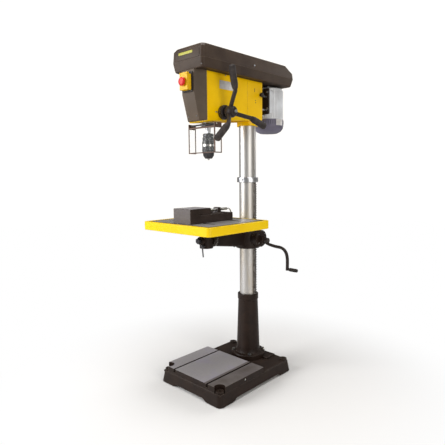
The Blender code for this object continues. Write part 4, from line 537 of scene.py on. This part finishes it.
def zinc_plate(name):
    f = Finish(name)
    bloom, grain = f.noise(70, 2), f.noise(1900, 2)
    colour = f.mix(bloom.fade(0.35, 0.65), (0.6, 0.58, 0.5), (0.52, 0.55, 0.6))
    return f.surface(Base_Color=colour, Metallic=1.0, Roughness=0.24 + grain * 0.14,
                     Normal=f.bumps(grain, 0.00004, 0.0007))


def oxide_black(name, tone=(0.03, 0.029, 0.032), under=(0.36, 0.35, 0.34), rough=0.3):
    f = Finish(name)
    grain, cloud = f.noise(1500, 2), f.noise(45, 3)
    colour = f.mix(cloud.fade(0.35, 0.7), tone, tuple(c * 1.9 for c in tone))
    rubbed = f.edge_mask(0.001, 0.9)
    return f.surface(Base_Color=f.mix(rubbed, colour, under), Metallic=0.55 + rubbed * 0.4,
                     Roughness=rough + cloud * 0.16, Normal=f.bumps(grain, 0.00005, 0.0007))


zinc, black_steel = zinc_plate("zinc_plate"), oxide_black("oxide_black")
dress(oiled_iron("oiled_gear_iron"), "lift_rack", "lift_pinion", "lift_worm")
dress(zinc, "vise_screw", "feed_shaft", *[f"pedestal_bolt_{k}" for k in (1, 2, 3, 4)])
dress(black_steel, "column_lock_lever", "tilt_bolt", "table_lock_lever", "guard_clamp", "chuck_body")
print(len(dressed), "nodes dressed so far")

# %% [markdown]
# ## Moulded plastics
# The belt cover is a thick moulding with a leathery grain, made here from Voronoi cells softened by noise.
# The front panel is of the same family in a lighter grey-brown. The switch and its buttons are smoother. All
# of them have their edges painted lighter, as a highlight.

# %% Plastics
def moulded_plastic(name, colour, shade, cells=520.0, depth=0.00022, gloss=0.42, wear=0.3):
    f = Finish(name)
    cell = f.add("ShaderNodeTexVoronoi", {"Vector": f.place(), "Scale": cells, "Randomness": 1.0})
    cloud, fine = f.noise(9, 3), f.noise(1800, 2)
    base = f.mix(cloud.fade(0.3, 0.7), shade, colour)
    # painted highlight: the edges are painted lighter than the plastic
    painted_edge_highlight = f.edge_mask(0.0024, wear)
    base = f.mix(painted_edge_highlight, base, tuple(c * 2.2 + 0.03 for c in colour))
    return f.surface(Base_Color=base, Roughness=gloss + cell * 0.1 + cloud * 0.08,
                     Normal=f.bumps(cell * 0.7 + fine * 0.3, depth, 0.0016), Specular_IOR_Level=0.22)


cover_plastic = moulded_plastic("cover_plastic", (0.056, 0.036, 0.024), (0.036, 0.022, 0.015))
small_black = moulded_plastic("small_black_plastic", (0.022, 0.016, 0.014), (0.013, 0.01, 0.009), 900, 1e-4)
dress(cover_plastic, "pulley_pan", "pulley_lid")
dress(small_black, "crank_grip", "feed_dial", "spring_cap", "tension_knob")
# where a row gives a number after gloss, it sets how much the edges are painted lighter, as a highlight
for nodes, row in {  # a name, two colours, then cells per metre, depth, gloss and wear
    ("front_panel",): ("panel_plastic", (0.098, 0.07, 0.047), (0.074, 0.052, 0.035), 700, 1.5e-4),
    # the fan cover is black plastic; its lifted blue-grey colour is painted reflection
    ("motor_fan_cover",): ("fan_cover_plastic", (0.15, 0.14, 0.195), (0.105, 0.098, 0.135), 700, 1.2e-4,
                           0.33),
    ("guard_frame",): ("smoked_guard_edge", (0.13, 0.08, 0.06), (0.075, 0.045, 0.035), 900, 1e-4),
    ("switch_base", "switch_flap"): ("switch_yellow", (0.78, 0.46, 0.006), (0.7, 0.4, 0.004), 1200, 6e-5,
                                     0.3, 0.05),
    ("stop_mushroom",): ("stop_red", (0.62, 0.016, 0.012), (0.54, 0.01, 0.008), 1200, 4e-5, 0.22, 0.05),
    ("start_button",): ("start_green", (0.02, 0.3, 0.06), (0.015, 0.22, 0.04), 1200, 4e-5, 0.25, 0.05),
}.items():
    dress(moulded_plastic(*row), *nodes)
print("plastics on", dressed[-9:])

# %% [markdown]
# ## Rubber
# The feed grips and the belts are rubber: it has no gloss, and pale dust stays in its pores. On the belts the
# pores are stretched upright, like the edge of woven plies.

# %% Rubber
def rubber(name, colour=(0.03, 0.024, 0.023), dusty=(0.085, 0.072, 0.064), stretch=(1, 1, 1)):
    f = Finish(name)
    pore, cloud = f.noise(1300, 3, 0.65, stretch), f.noise(38, 4)
    base = f.mix(cloud.fade(0.42, 0.75) * 0.55, colour, dusty)
    return f.surface(Base_Color=base, Roughness=0.58 + pore * 0.22 + cloud * 0.1,
                     Normal=f.bumps(pore, 0.00018, 0.002), Specular_IOR_Level=0.25)


dress(rubber("grip_rubber"), *[f"feed_grip_{k}" for k in (1, 2, 3)])
dress(rubber("belt_rubber_fabric", (0.022, 0.021, 0.022), (0.07, 0.066, 0.06), (1, 1, 0.2)),
      "front_belt", "rear_belt")
print("rubber on", dressed[-5:])

# %% [markdown]
# ## Cast aluminium
# The motor's shell and the step pulleys are die-cast aluminium: pale, slightly blue and softly rough, with
# dark streaks where dirt runs down. The pulleys are turned after casting, so they have the column's rings.

# %% Aluminium
def cast_aluminium(name):
    f = Finish(name)
    grain, cloud, streak = f.noise(1000, 3), f.noise(16, 4), f.noise(60, 3, 0.6, (1, 1, 0.1))
    colour = f.mix(cloud.fade(0.35, 0.75), (0.62, 0.63, 0.65), (0.74, 0.76, 0.79))
    colour = f.mix(streak.fade(0.55, 0.8) * 0.3, colour, (0.42, 0.4, 0.38))
    return f.surface(Base_Color=colour, Metallic=0.15, Roughness=0.42 + grain * 0.16,
                     Normal=f.bumps(grain, 0.00012, 0.0012))


aluminium = cast_aluminium("cast_aluminium")
dress(aluminium, "motor_body")
dress(turned_steel("turned_aluminium", (0.62, 0.62, 0.63), (0.5, 0.49, 0.47), 2.0, 0.3),
      "spindle_pulley", "idler_pulley", "motor_pulley")
print("aluminium on", dressed[-4:])

# %% [markdown]
# ## The chuck sleeve and the clear guard
# A chuck sleeve is blackened and then ground bright on a band above its knurl. The guard is clear sheet that
# is mostly seen by its edges, hairline scratches and a little haze, so it is nearly transparent with a gloss.

# %% Chuck sleeve and guard sheet
def banded_sleeve(name, band_low, band_high):
    f = Finish(name)
    height = f.axes(f.place())[2]
    band = height.above(band_low) * height.below(band_high)
    ring, cloud = f.noise(1800, 2, 0.5, (0.03, 0.03, 1)), f.noise(50, 3)
    dark = f.mix(cloud, (0.024, 0.023, 0.022), (0.06, 0.058, 0.056))
    dark = f.mix(f.edge_mask(0.001, 0.8), dark, (0.4, 0.39, 0.38))
    bright = f.mix(ring.fade(0.35, 0.7), (0.58, 0.57, 0.54), (0.46, 0.45, 0.42))
    return f.surface(Base_Color=f.mix(band, dark, bright), Metallic=0.6 + band * 0.4,
                     Roughness=0.27 + ring * 0.12, Normal=f.bumps(ring, 0.00005, 0.0008))


def clear_sheet(name):
    f = Finish(name)
    scratch = f.noise(500, 3, 0.6, (1, 1, 0.05)).fade(0.6, 0.78)
    haze = f.noise(20, 3).fade(0.4, 0.8)
    tint = f.mix(scratch, (0.8, 0.86, 0.86), (0.95, 0.95, 0.95))
    return f.surface(Base_Color=tint, Roughness=0.06 + scratch * 0.3 + haze * 0.05,
                     Alpha=0.02 + scratch * 0.05 + haze * 0.015, Specular_IOR_Level=0.2)


sleeve_low, sleeve_high = (corner.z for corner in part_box("chuck_sleeve"))
band = [sleeve_low + (sleeve_high - sleeve_low) * share for share in (0.52, 0.7)]
dress(banded_sleeve("chuck_sleeve_black", *band), "chuck_sleeve")
dress(clear_sheet("guard_clear_sheet"), "guard_shield")
undressed = sorted(set(frame["nodes"]) - set(dressed))
print("nodes left to dress:", undressed)

# %% [markdown]
# ## The motor's slide rods
# The motor hangs from an enamelled plate that slides on four ground rods. Plate and rods are one casting in
# the frame, so a mask along the front-to-back axis changes enamel into steel where the plate ends.

# %% Enamel plate with bright rods
def plate_with_rods(name, plate_front):
    f = Finish(name)
    rod = f.axes(f.place())[1].below(plate_front)
    sand, cloud, ring = f.noise(900, 2), f.noise(14, 4), f.noise(1400, 2, 0.5, (0.02, 1, 0.02))
    painted = f.mix(cloud.fade(0.3, 0.7), ENAMEL_SHADE, ENAMEL)
    return f.surface(Base_Color=f.mix(rod, painted, STEEL), Metallic=rod,
                     Roughness=0.4 - rod * 0.18 + cloud * 0.1,
                     Normal=f.bumps(sand * (1 - rod) + ring * rod * 0.2, 0.0003))


MOUNT_THICKNESS = 0.009
plate_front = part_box("motor_mount")[1].y - MOUNT_THICKNESS
dress(plate_with_rods("mount_enamel", plate_front - 0.0001), "motor_mount")
print("rods begin", round(plate_front, 4))

# %% [markdown]
# ## Making small pieces
# Every added piece is drawn at the origin, turned to face its surface and moved there inside its mesh, so
# that the object itself stays at the origin. `facing` gives the turn: local Z becomes the direction that the
# piece looks in, and local Y its upright.

# %% Placing helpers
UP, RIGHT, BACK, FRONT = (0, 0, 1), (1, 0, 0), (0, 1, 0), (0, -1, 0)
CREASE = radians(35)
added = []


def facing(normal, place, upright=UP):
    outward = Vector(normal).normalized()
    across = Vector(upright).cross(outward).normalized()
    return Matrix.Translation(place) @ Matrix((across, outward.cross(across), outward)).transposed().to_4x4()


def finish_piece(name, mesh, body, material=None):
    mesh.name = name
    if material:
        mesh.materials.clear()
        mesh.materials.append(material)
    piece = new_object(name, mesh)
    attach(piece, body)
    added.append(name)


def shaded(mesh, crease=CREASE):
    mesh.shade_smooth()
    mesh.set_sharp_from_angle(angle=crease)
    return mesh


def to_mesh(bm, turn):
    bmesh.ops.remove_doubles(bm, verts=bm.verts, dist=1e-7)
    bmesh.ops.recalc_face_normals(bm, faces=bm.faces)
    bm.transform(turn)
    mesh = bpy.data.meshes.new("piece")
    bm.to_mesh(mesh)
    bm.free()
    return shaded(mesh)


def plate(width, height, thickness, corner, edge, turn):
    """A flat plate with round corners and a softened rim."""
    bm = bmesh.new()
    bmesh.ops.create_cube(bm, size=1, matrix=Matrix.Diagonal((width, height, thickness, 1)))
    upright = [e for e in bm.edges if abs(e.verts[0].co.z - e.verts[1].co.z) > thickness / 2]
    bmesh.ops.bevel(bm, geom=upright, offset=corner, segments=5, profile=0.5, affect="EDGES")
    front = max(bm.faces, key=lambda face: face.calc_center_median().z)
    bmesh.ops.bevel(bm, geom=list(front.edges), offset=edge, segments=2, profile=0.5, affect="EDGES")
    bmesh.ops.translate(bm, verts=bm.verts, vec=(0, 0, thickness / 2))
    return to_mesh(bm, turn)


def add_plate(name, body, slot, material, size, normal, place):
    """Fits a plate of (width, height, thickness, corner, edge) at a place."""
    finish_piece(name, plate(*size, facing(normal, place)), body, material)


def turned_disc(profile, turn, steps=40):
    """A profile of (radius, height) that begins and ends on local Z, spun about it."""
    bm = bmesh.new()
    points = [bm.verts.new((r, 0, z)) for r, z in profile]
    lines = [bm.edges.new(pair) for pair in zip(points, points[1:])]
    bmesh.ops.spin(bm, geom=points + lines, cent=(0, 0, 0), axis=(0, 0, 1), angle=tau, steps=steps,
                   use_merge=True)
    return to_mesh(bm, turn)


print("a plate that faces front is turned by", round(facing(FRONT, (0, 0, 0)).to_euler().x, 3))

# %% [markdown]
# ## Patterns made by Geometry Nodes
# Screws, ribs, teeth and scale marks repeat one small shape by a rule, which is what Geometry Nodes are for.
# A `Pattern` is such a tree with named inputs. `bake` gives an object the tree, sets its inputs by their
# identifiers, takes the evaluated result as a plain mesh and throws the object away.

# %% The pattern class
class Pattern(Graph):
    KINDS = {int: "NodeSocketInt", float: "NodeSocketFloat", str: "NodeSocketMaterial"}

    def __init__(self, name, **inputs):
        self.tree = bpy.data.node_groups.new(name, "GeometryNodeTree")
        sockets = self.tree.interface
        sockets.new_socket("Geometry", in_out="INPUT", socket_type="NodeSocketGeometry")
        for title, start in inputs.items():
            socket = sockets.new_socket(title, in_out="INPUT", socket_type=self.KINDS[type(start)])
            if not isinstance(start, str):
                socket.default_value = start
        sockets.new_socket("Geometry", in_out="OUTPUT", socket_type="NodeSocketGeometry")
        self.start = self.tree.nodes.new("NodeGroupInput")
        self.end = self.tree.nodes.new("NodeGroupOutput")

    def given(self, title):
        return Socket(self, self.start.outputs[title])

    def vector(self, x=0.0, y=0.0, z=0.0):
        return self.add("ShaderNodeCombineXYZ", {0: x, 1: y, 2: z})

    def close(self, instances):
        """Every tree ends the same way: real geometry, in one material."""
        real = self.add("GeometryNodeRealizeInstances", {0: instances})
        coloured = self.add("GeometryNodeSetMaterial", {"Geometry": real, "Material": self.given("Material")})
        self.tree.links.new(coloured.socket, self.end.inputs[0])
        return self

    def bake(self, base, turn, **values):
        """The tree's result on a base mesh, as a plain mesh turned into place."""
        carrier = new_object("carrier", base)
        modifier = carrier.modifiers.new("pattern", "NODES")
        modifier.node_group = self.tree
        for item in self.tree.interface.items_tree:
            if item.in_out == "INPUT" and item.name in values:
                modifier[item.identifier] = values[item.name]
        depsgraph = bpy.context.evaluated_depsgraph_get()
        mesh = bpy.data.meshes.new_from_object(carrier.evaluated_get(depsgraph), depsgraph=depsgraph)
        bpy.data.objects.remove(carrier)
        mesh.transform(turn)
        return shaded(mesh, radians(38))


def on_surface(node, start, direction):
    """Where a line from a start point first meets a frame node, and which way the surface looks there."""
    mesh = frame["nodes"][node].data
    skin = BVHTree.FromPolygons([v.co for v in mesh.vertices], [face.vertices for face in mesh.polygons])
    place, normal, _, _ = skin.ray_cast(start, Vector(direction))
    return place, normal


def points_with_directions(rows):
    """A mesh of loose points, each with the direction that its screw looks in."""
    mesh = bpy.data.meshes.new("points")
    mesh.from_pydata([tuple(place) for place, _ in rows], [], [])
    directions = mesh.attributes.new("direction", "FLOAT_VECTOR", "POINT")
    for slot, (_, direction) in zip(directions.data, rows):
        slot.vector = Vector(direction).normalized()
    return mesh


print("pattern inputs can be", sorted(kind.__name__ for kind in Pattern.KINDS))

# %% [markdown]
# ### Screw heads
# One tree makes every screw: a short cone frustum with a cross cut into it, set on each point and turned to
# its direction. With six sides and hardly any cross the same tree makes bolt heads, and with more sides and a
# low height it makes rivets.

# %% The screw tree
def make_screw_tree():
    p = Pattern("screws", Sides=24, Radius=0.003, Height=0.0015, Cross=0.0008, Material="")
    radius, height = p.given("Radius"), p.given("Height")
    head = p.add("GeometryNodeMeshCone", {"Vertices": p.given("Sides"), "Radius Top": radius * 0.8,
                                          "Radius Bottom": radius, "Depth": height})
    bars = []
    for wide, long in ((0.34, 1.25), (1.25, 0.34)):
        size = p.vector(radius * wide, radius * long, p.given("Cross") * 2)
        bar = p.add("GeometryNodeMeshCube", {"Size": size})
        bars.append(p.add("GeometryNodeTransform", {"Geometry": bar, "Translation": p.vector(z=height)}))
    cut = p.add("GeometryNodeMeshBoolean", {"Mesh 1": head}, operation="DIFFERENCE", solver="FLOAT")
    node = cut.socket.node
    for bar in bars:
        p.tree.links.new(bar.socket, node.inputs["Mesh 2"])
    direction = p.add("GeometryNodeInputNamedAttribute", {"Name": "direction"}, data_type="FLOAT_VECTOR")
    turn = p.add("FunctionNodeAlignRotationToVector", {"Vector": direction}, axis="Z")
    return p.close(p.add("GeometryNodeInstanceOnPoints", {"Points": p.given("Geometry"), "Instance": cut,
                                                          "Rotation": turn}))


screws = make_screw_tree()
NO_CROSS = 0.00002  # metres: too shallow to be seen


def add_screws(name, body, rows, radius, height, slot="bolt_steel", material=zinc, sides=24, cross=None):
    """Screws on rows of (place, direction), each a radius wide and a height proud."""
    mesh = screws.bake(points_with_directions(rows), Matrix.Identity(4), Sides=sides, Radius=radius,
                       Height=height, Cross=height * 0.55 if cross is None else cross, Material=material)
    finish_piece(name, mesh, body)


panel_lean = Vector((0, -0.969, -0.248))
lower_screws = [(from_column(side * 0.028, -0.4041, 1.373), panel_lean) for side in (-1, 1)]
head_side = [(spot("head_casting", end, 0.3, 1, dz=-0.0065), (2 * end - 1, 0, 0)) for end in (0, 1)]
pad_side = [(from_column(side * 0.2092, -0.272, 0.0785), (side, 0, 0)) for side in (1, -1)]
add_screws("panel_screws", "stand", lower_screws, 0.0036, 0.0016, material=black_steel)
add_screws("head_screws", "stand", head_side, 0.0042, 0.0022)
add_screws("pad_screws", "stand", pad_side, 0.0048, 0.0024)
lid_screw = Vector((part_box("pulley_lid")[1].x - 0.0014, COLUMN.y - 0.07, 1.6445))
add_screws("lid_screw", "lid", [(lid_screw, (1, 0, 0.06))], 0.0042, 0.003)
COLLAR_SEAT = 0.0575
outwards = [Vector((cos(a), sin(a), 0)) for a in (radians(-80), radians(100))]
collar = [(spot("rack_collar", 0.5, 0.5, 0.5) + outward * COLLAR_SEAT, outward) for outward in outwards]
add_screws("collar_screws", "stand", collar, 0.005, 0.0022, material=black_steel, sides=18)
mount_bolts = [(Vector((COLUMN.x + side * 0.062, plate_front, z)), FRONT)
               for side in (-1, 1) for z in (1.541, 1.452)]
add_screws("mount_bolts", "motor", mount_bolts, 0.0068, 0.0046, sides=6, cross=NO_CROSS)
guard_ends = [(Vector((corner.x, COLUMN.y - 0.337, 1.338)), (side, 0, 0))
              for corner, side in zip(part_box("guard_clamp"), (-1, 1))]
add_screws("guard_pivot_screws", "quill", guard_ends, 0.0046, 0.0018)
print("screws:", added)

# %% [markdown]
# ### Ribs round an axis
# Motor fins, knurls, the key teeth of the chuck, the flutes of a grip and the marks of a dial are all one
# rounded bar repeated round a circle. The bar is an eight-sided cylinder, stretched: width goes round the
# circle, depth points outwards and length runs along the axis.

# %% The rib tree
def make_rib_tree():
    p = Pattern("ribs", Count=24, Radius=0.03, Width=0.002, Depth=0.001, Length=0.01, Material="")
    circle = p.add("GeometryNodeMeshCircle", {"Vertices": p.given("Count"), "Radius": p.given("Radius")})
    bar = p.add("GeometryNodeMeshCylinder", {"Vertices": 8, "Radius": 0.5, "Depth": 1.0})
    size = p.vector(p.given("Depth") * 2, p.given("Width"), p.given("Length"))
    bar = p.add("GeometryNodeTransform", {"Geometry": bar, "Scale": size})
    outward = p.add("GeometryNodeInputPosition")
    turn = p.add("FunctionNodeAlignRotationToVector", {"Vector": outward}, axis="X")
    bars = p.add("GeometryNodeInstanceOnPoints", {"Points": circle, "Instance": bar, "Rotation": turn})
    return p.close(bars)


ribs = make_rib_tree()


def add_ribs(name, body, slot, material, centre, axis, count, radius, width, depth, length):
    upright = BACK if axis == UP else UP
    mesh = ribs.bake(bpy.data.meshes.new("base"), facing(axis, centre, upright), Count=count, Radius=radius,
                     Width=width, Depth=depth, Length=length, Material=material)
    finish_piece(name, mesh, body)


mark_paint = oxide_black("scale_mark_paint", (0.62, 0.6, 0.55), (0.3, 0.29, 0.27), 0.5)
BLACK, OXIDE, MARK = ("black_plastic", small_black), ("black_oxide", black_steel), ("bolt_steel", mark_paint)
motor_axis = spot("motor_pulley", 0.5, 0.5, 0)
motor_middle = Vector((motor_axis.x, motor_axis.y, 1.484))
fan_middle = Vector((motor_axis.x, motor_axis.y, spot("motor_fan_cover", 0, 0, 1).z - 0.017))
sleeve_knurl = spot("chuck_sleeve", 0.5, 0.5, 0.27)
teeth_middle = Vector((CHUCK.x, CHUCK.y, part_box("chuck_sleeve")[1].z + 0.009))
knob = spot("tension_knob", 1, 0.5, 0.5, dx=-0.0055)
grip, dial = (spot(node, 0.5, 0.5, 0.5) for node in ("crank_grip", "feed_dial"))
tilt_middle = Vector((COLUMN.x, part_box("tilt_bracket")[1].y + 0.0075, spot("tilt_bolt", 0, 0, 0.5).z))
# each row ends with the count, the circle's radius and a rib's width, depth and length
for row in (
    ("motor_fins", "motor", "motor_alloy", aluminium, motor_middle, UP, 44, 0.0775, 0.003, 0.004, 0.15),
    ("fan_cover_ribs", "motor", *BLACK, fan_middle, UP, 40, 0.0838, 0.0022, 0.0009, 0.022),
    ("sleeve_knurl", "chuck_sleeve", *OXIDE, sleeve_knurl, UP, 40, 0.0308, 0.0026, 0.0009, 0.024),
    ("chuck_key_teeth", "spindle", *OXIDE, teeth_middle, UP, 34, 0.0284, 0.0028, 0.0013, 0.01),
    ("knob_flutes", "knob", *BLACK, knob, RIGHT, 18, 0.0109, 0.0022, 0.0009, 0.009),
    ("crank_grip_flutes", "crank_grip", *BLACK, grip, RIGHT, 12, 0.0088, 0.0022, 0.0008, 0.036),
    ("dial_marks", "feed_handle", *MARK, dial, RIGHT, 60, 0.035, 0.0007, 0.00025, 0.009),
    ("tilt_scale", "bracket", *MARK, tilt_middle, BACK, 72, 0.04, 0.0007, 0.00025, 0.008),
):
    add_ribs(*row)
print("ribs:", added[-8:])

# %% [markdown]
# ### The vise thread
# A screw thread follows a rule too: a helix with the frame's four millimetres of lead. The tree sweeps a
# small square along a spiral curve, which reads as a rolled thread.

# %% The thread tree
def make_thread_tree():
    p = Pattern("thread", Turns=10.0, Radius=0.006, Length=0.04, Ridge=0.0009, Material="")
    radius = p.given("Radius")
    spiral = p.add("GeometryNodeCurveSpiral", {"Resolution": 20, "Rotations": p.given("Turns"),
                                               "Start Radius": radius, "End Radius": radius,
                                               "Height": p.given("Length")})
    outline = p.add("GeometryNodeCurvePrimitiveCircle", {"Resolution": 4, "Radius": p.given("Ridge")})
    return p.close(p.add("GeometryNodeCurveToMesh", {"Curve": spiral, "Profile Curve": outline,
                                                     "Fill Caps": True}))


LEAD, THREAD_LENGTH = 0.004, 0.118
screw_low, screw_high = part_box("vise_screw")
thread_start = Vector(((screw_low.x + screw_high.x) / 2, screw_low.y + 0.002, screw_high.z - 0.007))
turns = THREAD_LENGTH / LEAD
thread = make_thread_tree().bake(bpy.data.meshes.new("base"), facing(BACK, thread_start), Turns=turns,
                                 Radius=0.0068, Length=THREAD_LENGTH, Ridge=0.0011, Material=zinc)
finish_piece("vise_thread", thread, "vise_screw")
print("thread has", round(turns), "turns")

# %% [markdown]
# ## Plates and labels
# There is a rating plate on the head, another on the fan cover and a badge on the lid. All three are left
# bare, with nothing printed on them, and rivets hold the one on the head. A bare plate is a thin slab with
# rounded corners, so a faint fibre and a dulled edge do the work.

# %% Bare plates
def bare_plate(name, colour, shade, metal=0.0, gloss=0.38):
    f = Finish(name)
    fibre, cloud = f.noise(700, 3), f.noise(40, 3)
    base = f.mix(cloud.fade(0.3, 0.75), shade, colour)
    base = f.mix(f.edge_mask(0.0012, 0.7), base, tuple(c * 0.6 for c in colour))
    return f.surface(Base_Color=base, Metallic=metal, Roughness=gloss + fibre * 0.15,
                     Normal=f.bumps(fibre, 0.00003, 0.0006))


pale_plate = bare_plate("pale_plate", (0.66, 0.64, 0.62), (0.5, 0.48, 0.47), 0.2)
badge_paint = bare_plate("badge_paint", (0.42, 0.4, 0.03), (0.34, 0.32, 0.02))
label_place = on_head_side(-0.2352, 1.5295)
add_plate("head_plate", "stand", "bolt_steel", pale_plate, (0.097, 0.04, 0.0008, 0.003, 0.0003), RIGHT,
          label_place)
rivets = [(label_place + Vector((0.0007, y, z)), RIGHT) for y in (-0.0445, 0.0445) for z in (-0.016, 0.016)]
add_screws("plate_rivets", "stand", rivets, 0.0017, 0.0009, sides=14, cross=NO_CROSS)
lid_lean = Vector((0, -0.998, 0.058))
add_plate("lid_bezel", "lid", "black_plastic", cover_plastic, (0.172, 0.044, 0.0012, 0.01, 0.0006), lid_lean,
          from_column(0, -0.4349, 1.6525))
add_plate("lid_badge", "lid", "black_plastic", badge_paint, (0.096, 0.012, 0.0014, 0.002, 0.0004), lid_lean,
          from_column(-0.0075, -0.4355, 1.66))
switch_middle = Vector((COLUMN.x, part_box("front_panel")[0].y, spot("switch_base", 0, 0, 0.48).z))
add_plate("switch_surround", "stand", *BLACK, (0.072, 0.092, 0.005, 0.008, 0.0012), FRONT, switch_middle)
COVER_RADIUS, COVER_SCREW_CIRCLE = 0.0415, 0.035
housing_place = Vector((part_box("crank_arm")[0].x - 0.0243, COLUMN.y, 0.748))
cover_profile = [(0.0, 0.0022), (0.04, 0.0022), (COVER_RADIUS, 0.001), (COVER_RADIUS, 0.0), (0.0, 0.0)]
gear_cover = turned_disc(cover_profile, facing(RIGHT, housing_place))
finish_piece("gear_cover", gear_cover, "bracket", enamel)
cover_screws = [(housing_place + Vector((0.002, cos(a) * COVER_SCREW_CIRCLE,
                                         sin(a) * COVER_SCREW_CIRCLE)), RIGHT)
                for a in (radians(45 + 90 * k) for k in range(4))]
add_screws("gear_cover_screws", "bracket", cover_screws, 0.0038, 0.002, material=black_steel)
print("plates:", added[-9:])

# %% [markdown]
# ## Last fittings
# The last pieces are the rating plate on the fan cover, sockets for the chuck key, the pointer beside the
# depth dial, a seam and plugs on the head, and a few screws. The fan cover's plate follows a curved wall, so
# it is a grid of points laid on a cylinder, inside and outside.

# %% Fittings
def curved_plate(centre, radius, thickness, middle_angle, half_width, low, high, steps=8):
    """A plate on an upright cylinder, from two heights and the angle of its middle and of half its width."""
    bm = bmesh.new()
    rows = []
    for reach in (radius, radius + thickness):
        for z in (low, high):
            angles = [middle_angle + half_width * (2 * k / steps - 1) for k in range(steps + 1)]
            rows.append([bm.verts.new((centre.x + reach * cos(a), centre.y + reach * sin(a), z))
                         for a in angles])
    inner_low, inner_high, outer_low, outer_high = rows
    around = (inner_low, inner_high, outer_high, outer_low)
    for one, other in zip(around, (*around[1:], inner_low)):
        for k in range(steps):
            bm.faces.new((one[k], one[k + 1], other[k + 1], other[k]))
    for k in (0, steps):
        bm.faces.new([edge[k] for edge in around])
    return to_mesh(bm, Matrix.Identity(4))


fan_plate = curved_plate(motor_axis, 0.0842, 0.0011, radians(-6), radians(17),
                         fan_middle.z - 0.018, fan_middle.z + 0.016)
finish_piece("fan_cover_plate", fan_plate, "motor", pale_plate)
key_places = []
for angle in (radians(-20 + 120 * k) for k in range(3)):
    outward = Vector((cos(angle), sin(angle), 0))
    outside = Vector((CHUCK.x, CHUCK.y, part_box("chuck_body")[1].z - 0.0068)) + outward * 0.06
    key_places.append(on_surface("chuck_body", outside, -outward))
add_screws("chuck_key_sockets", "spindle", key_places, 0.0038, 0.0006, "black_oxide", small_black, sides=20,
           cross=NO_CROSS)
surround_screws = [(switch_middle + Vector((x, -0.0048, z)), FRONT) for x in (-0.0315, 0.0315)
                   for z in (-0.041, 0.041)]
add_screws("switch_surround_screws", "stand", surround_screws, 0.0022, 0.001, material=black_steel)
dial_low, dial_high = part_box("feed_dial")
pointer_place = Vector((SIDE, dial_low.y - 0.009, (dial_low.z + dial_high.z) / 2))
add_plate("dial_pointer", "stand", "bolt_steel", zinc, (0.016, 0.006, 0.0016, 0.002, 0.0005), RIGHT,
          pointer_place)
yellow = frame["nodes"]["head_casting"].material_slots[0].material
add_plate("head_seam", "stand", "yellow_paint", yellow, (0.004, 0.176, 0.0007, 0.0015, 0.0005), RIGHT,
          on_head_side(-0.075, 1.4945))
add_plate("head_slot_plug", "stand", *BLACK, (0.0035, 0.018, 0.0005, 0.0015, 0.0002), RIGHT,
          on_head_side(-0.017, 1.5355))
dots = [(on_head_side(y, z), RIGHT) for y, z in ((-0.01, 1.483), (-0.009, 1.472))]
add_screws("head_hole_plugs", "stand", dots, 0.003, 0.0006, *BLACK, 18, NO_CROSS)
cap_low, cap_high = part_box("spring_cap")
cap_radius, cap_length = (cap_high.z - cap_low.z) / 2, (cap_high.x - cap_low.x) * 0.55
add_ribs("spring_cap_grip", "stand", *BLACK, spot("spring_cap", 0.35, 0.5, 0.5), RIGHT, 30, cap_radius,
         0.003, 0.0008, cap_length)
pan_corners = [on_surface("pulley_pan", from_column(side * 0.092, -0.6, 1.597), BACK) for side in (-1, 1)]
add_screws("pan_corner_screws", "stand", pan_corners, 0.0036, 0.0016, material=black_steel)
print("fittings:", added[-9:])

# %% [markdown]
# ## Belts merged into one skin
# The idler swings a few degrees so that the belts can be tightened. A stiff belt would then cut into the
# pulley. Each belt is copied from the frame and its loose triangles are merged into one skin. The copy takes
# the place of the frame's belt, which is hidden.

# %% Merged belts
def flexing_belt(node):
    mesh = frame["nodes"][node].data.copy()
    forget_normals(mesh)
    bm = bmesh.new()
    bm.from_mesh(mesh)
    bmesh.ops.remove_doubles(bm, verts=bm.verts, dist=1e-6)
    bm.to_mesh(mesh)
    bm.free()
    mesh.materials.clear()
    mesh.materials.append(frame["nodes"][node].material_slots[0].material)
    belt = new_object(node + "_flexing", shaded(mesh))
    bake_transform(belt)
    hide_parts(node)
    return belt.name


print(flexing_belt("front_belt"), flexing_belt("rear_belt"))

# %% [markdown]
# ## The floor
# A pale floor under the machine catches its contact shadow. Further out it turns into plain white light, so
# that the eye sees no edge between floor and backdrop.

# %% Floor
FLOOR_RADIUS = 9.0
GLOW_STARTS, SHADOW_RADIUS = 0.4, 1.3  # metres from the middle


def make_floor():
    bm = bmesh.new()
    bmesh.ops.create_circle(bm, cap_ends=True, segments=64, radius=FLOOR_RADIUS)
    mesh = bpy.data.meshes.new("floor")
    bm.to_mesh(mesh)
    bm.free()
    f = Finish("pale_floor")
    distance = f.add("ShaderNodeVectorMath", {0: f.place()}, output="Value", operation="LENGTH")
    f.surface(Base_Color=(0.8, 0.79, 0.78), Roughness=0.7)
    glow = f.add("ShaderNodeEmission", {"Color": (1, 1, 1), "Strength": 1.0})
    eye = f.add("ShaderNodeLightPath", output="Is Camera Ray")
    far = distance.fade(GLOW_STARTS, SHADOW_RADIUS) * eye
    both = f.add("ShaderNodeMixShader", {0: far, 1: Socket(f, f.shader.outputs[0]), 2: glow})
    f.tree.links.new(both.socket, f.tree.nodes["Material Output"].inputs["Surface"])
    mesh.materials.append(f.material)
    new_object("floor", mesh)


make_floor()
print("floor is", 2 * FLOOR_RADIUS, "m across")

# %% Finish
print("sizes written for", len(frame["nodes"]), "nodes")
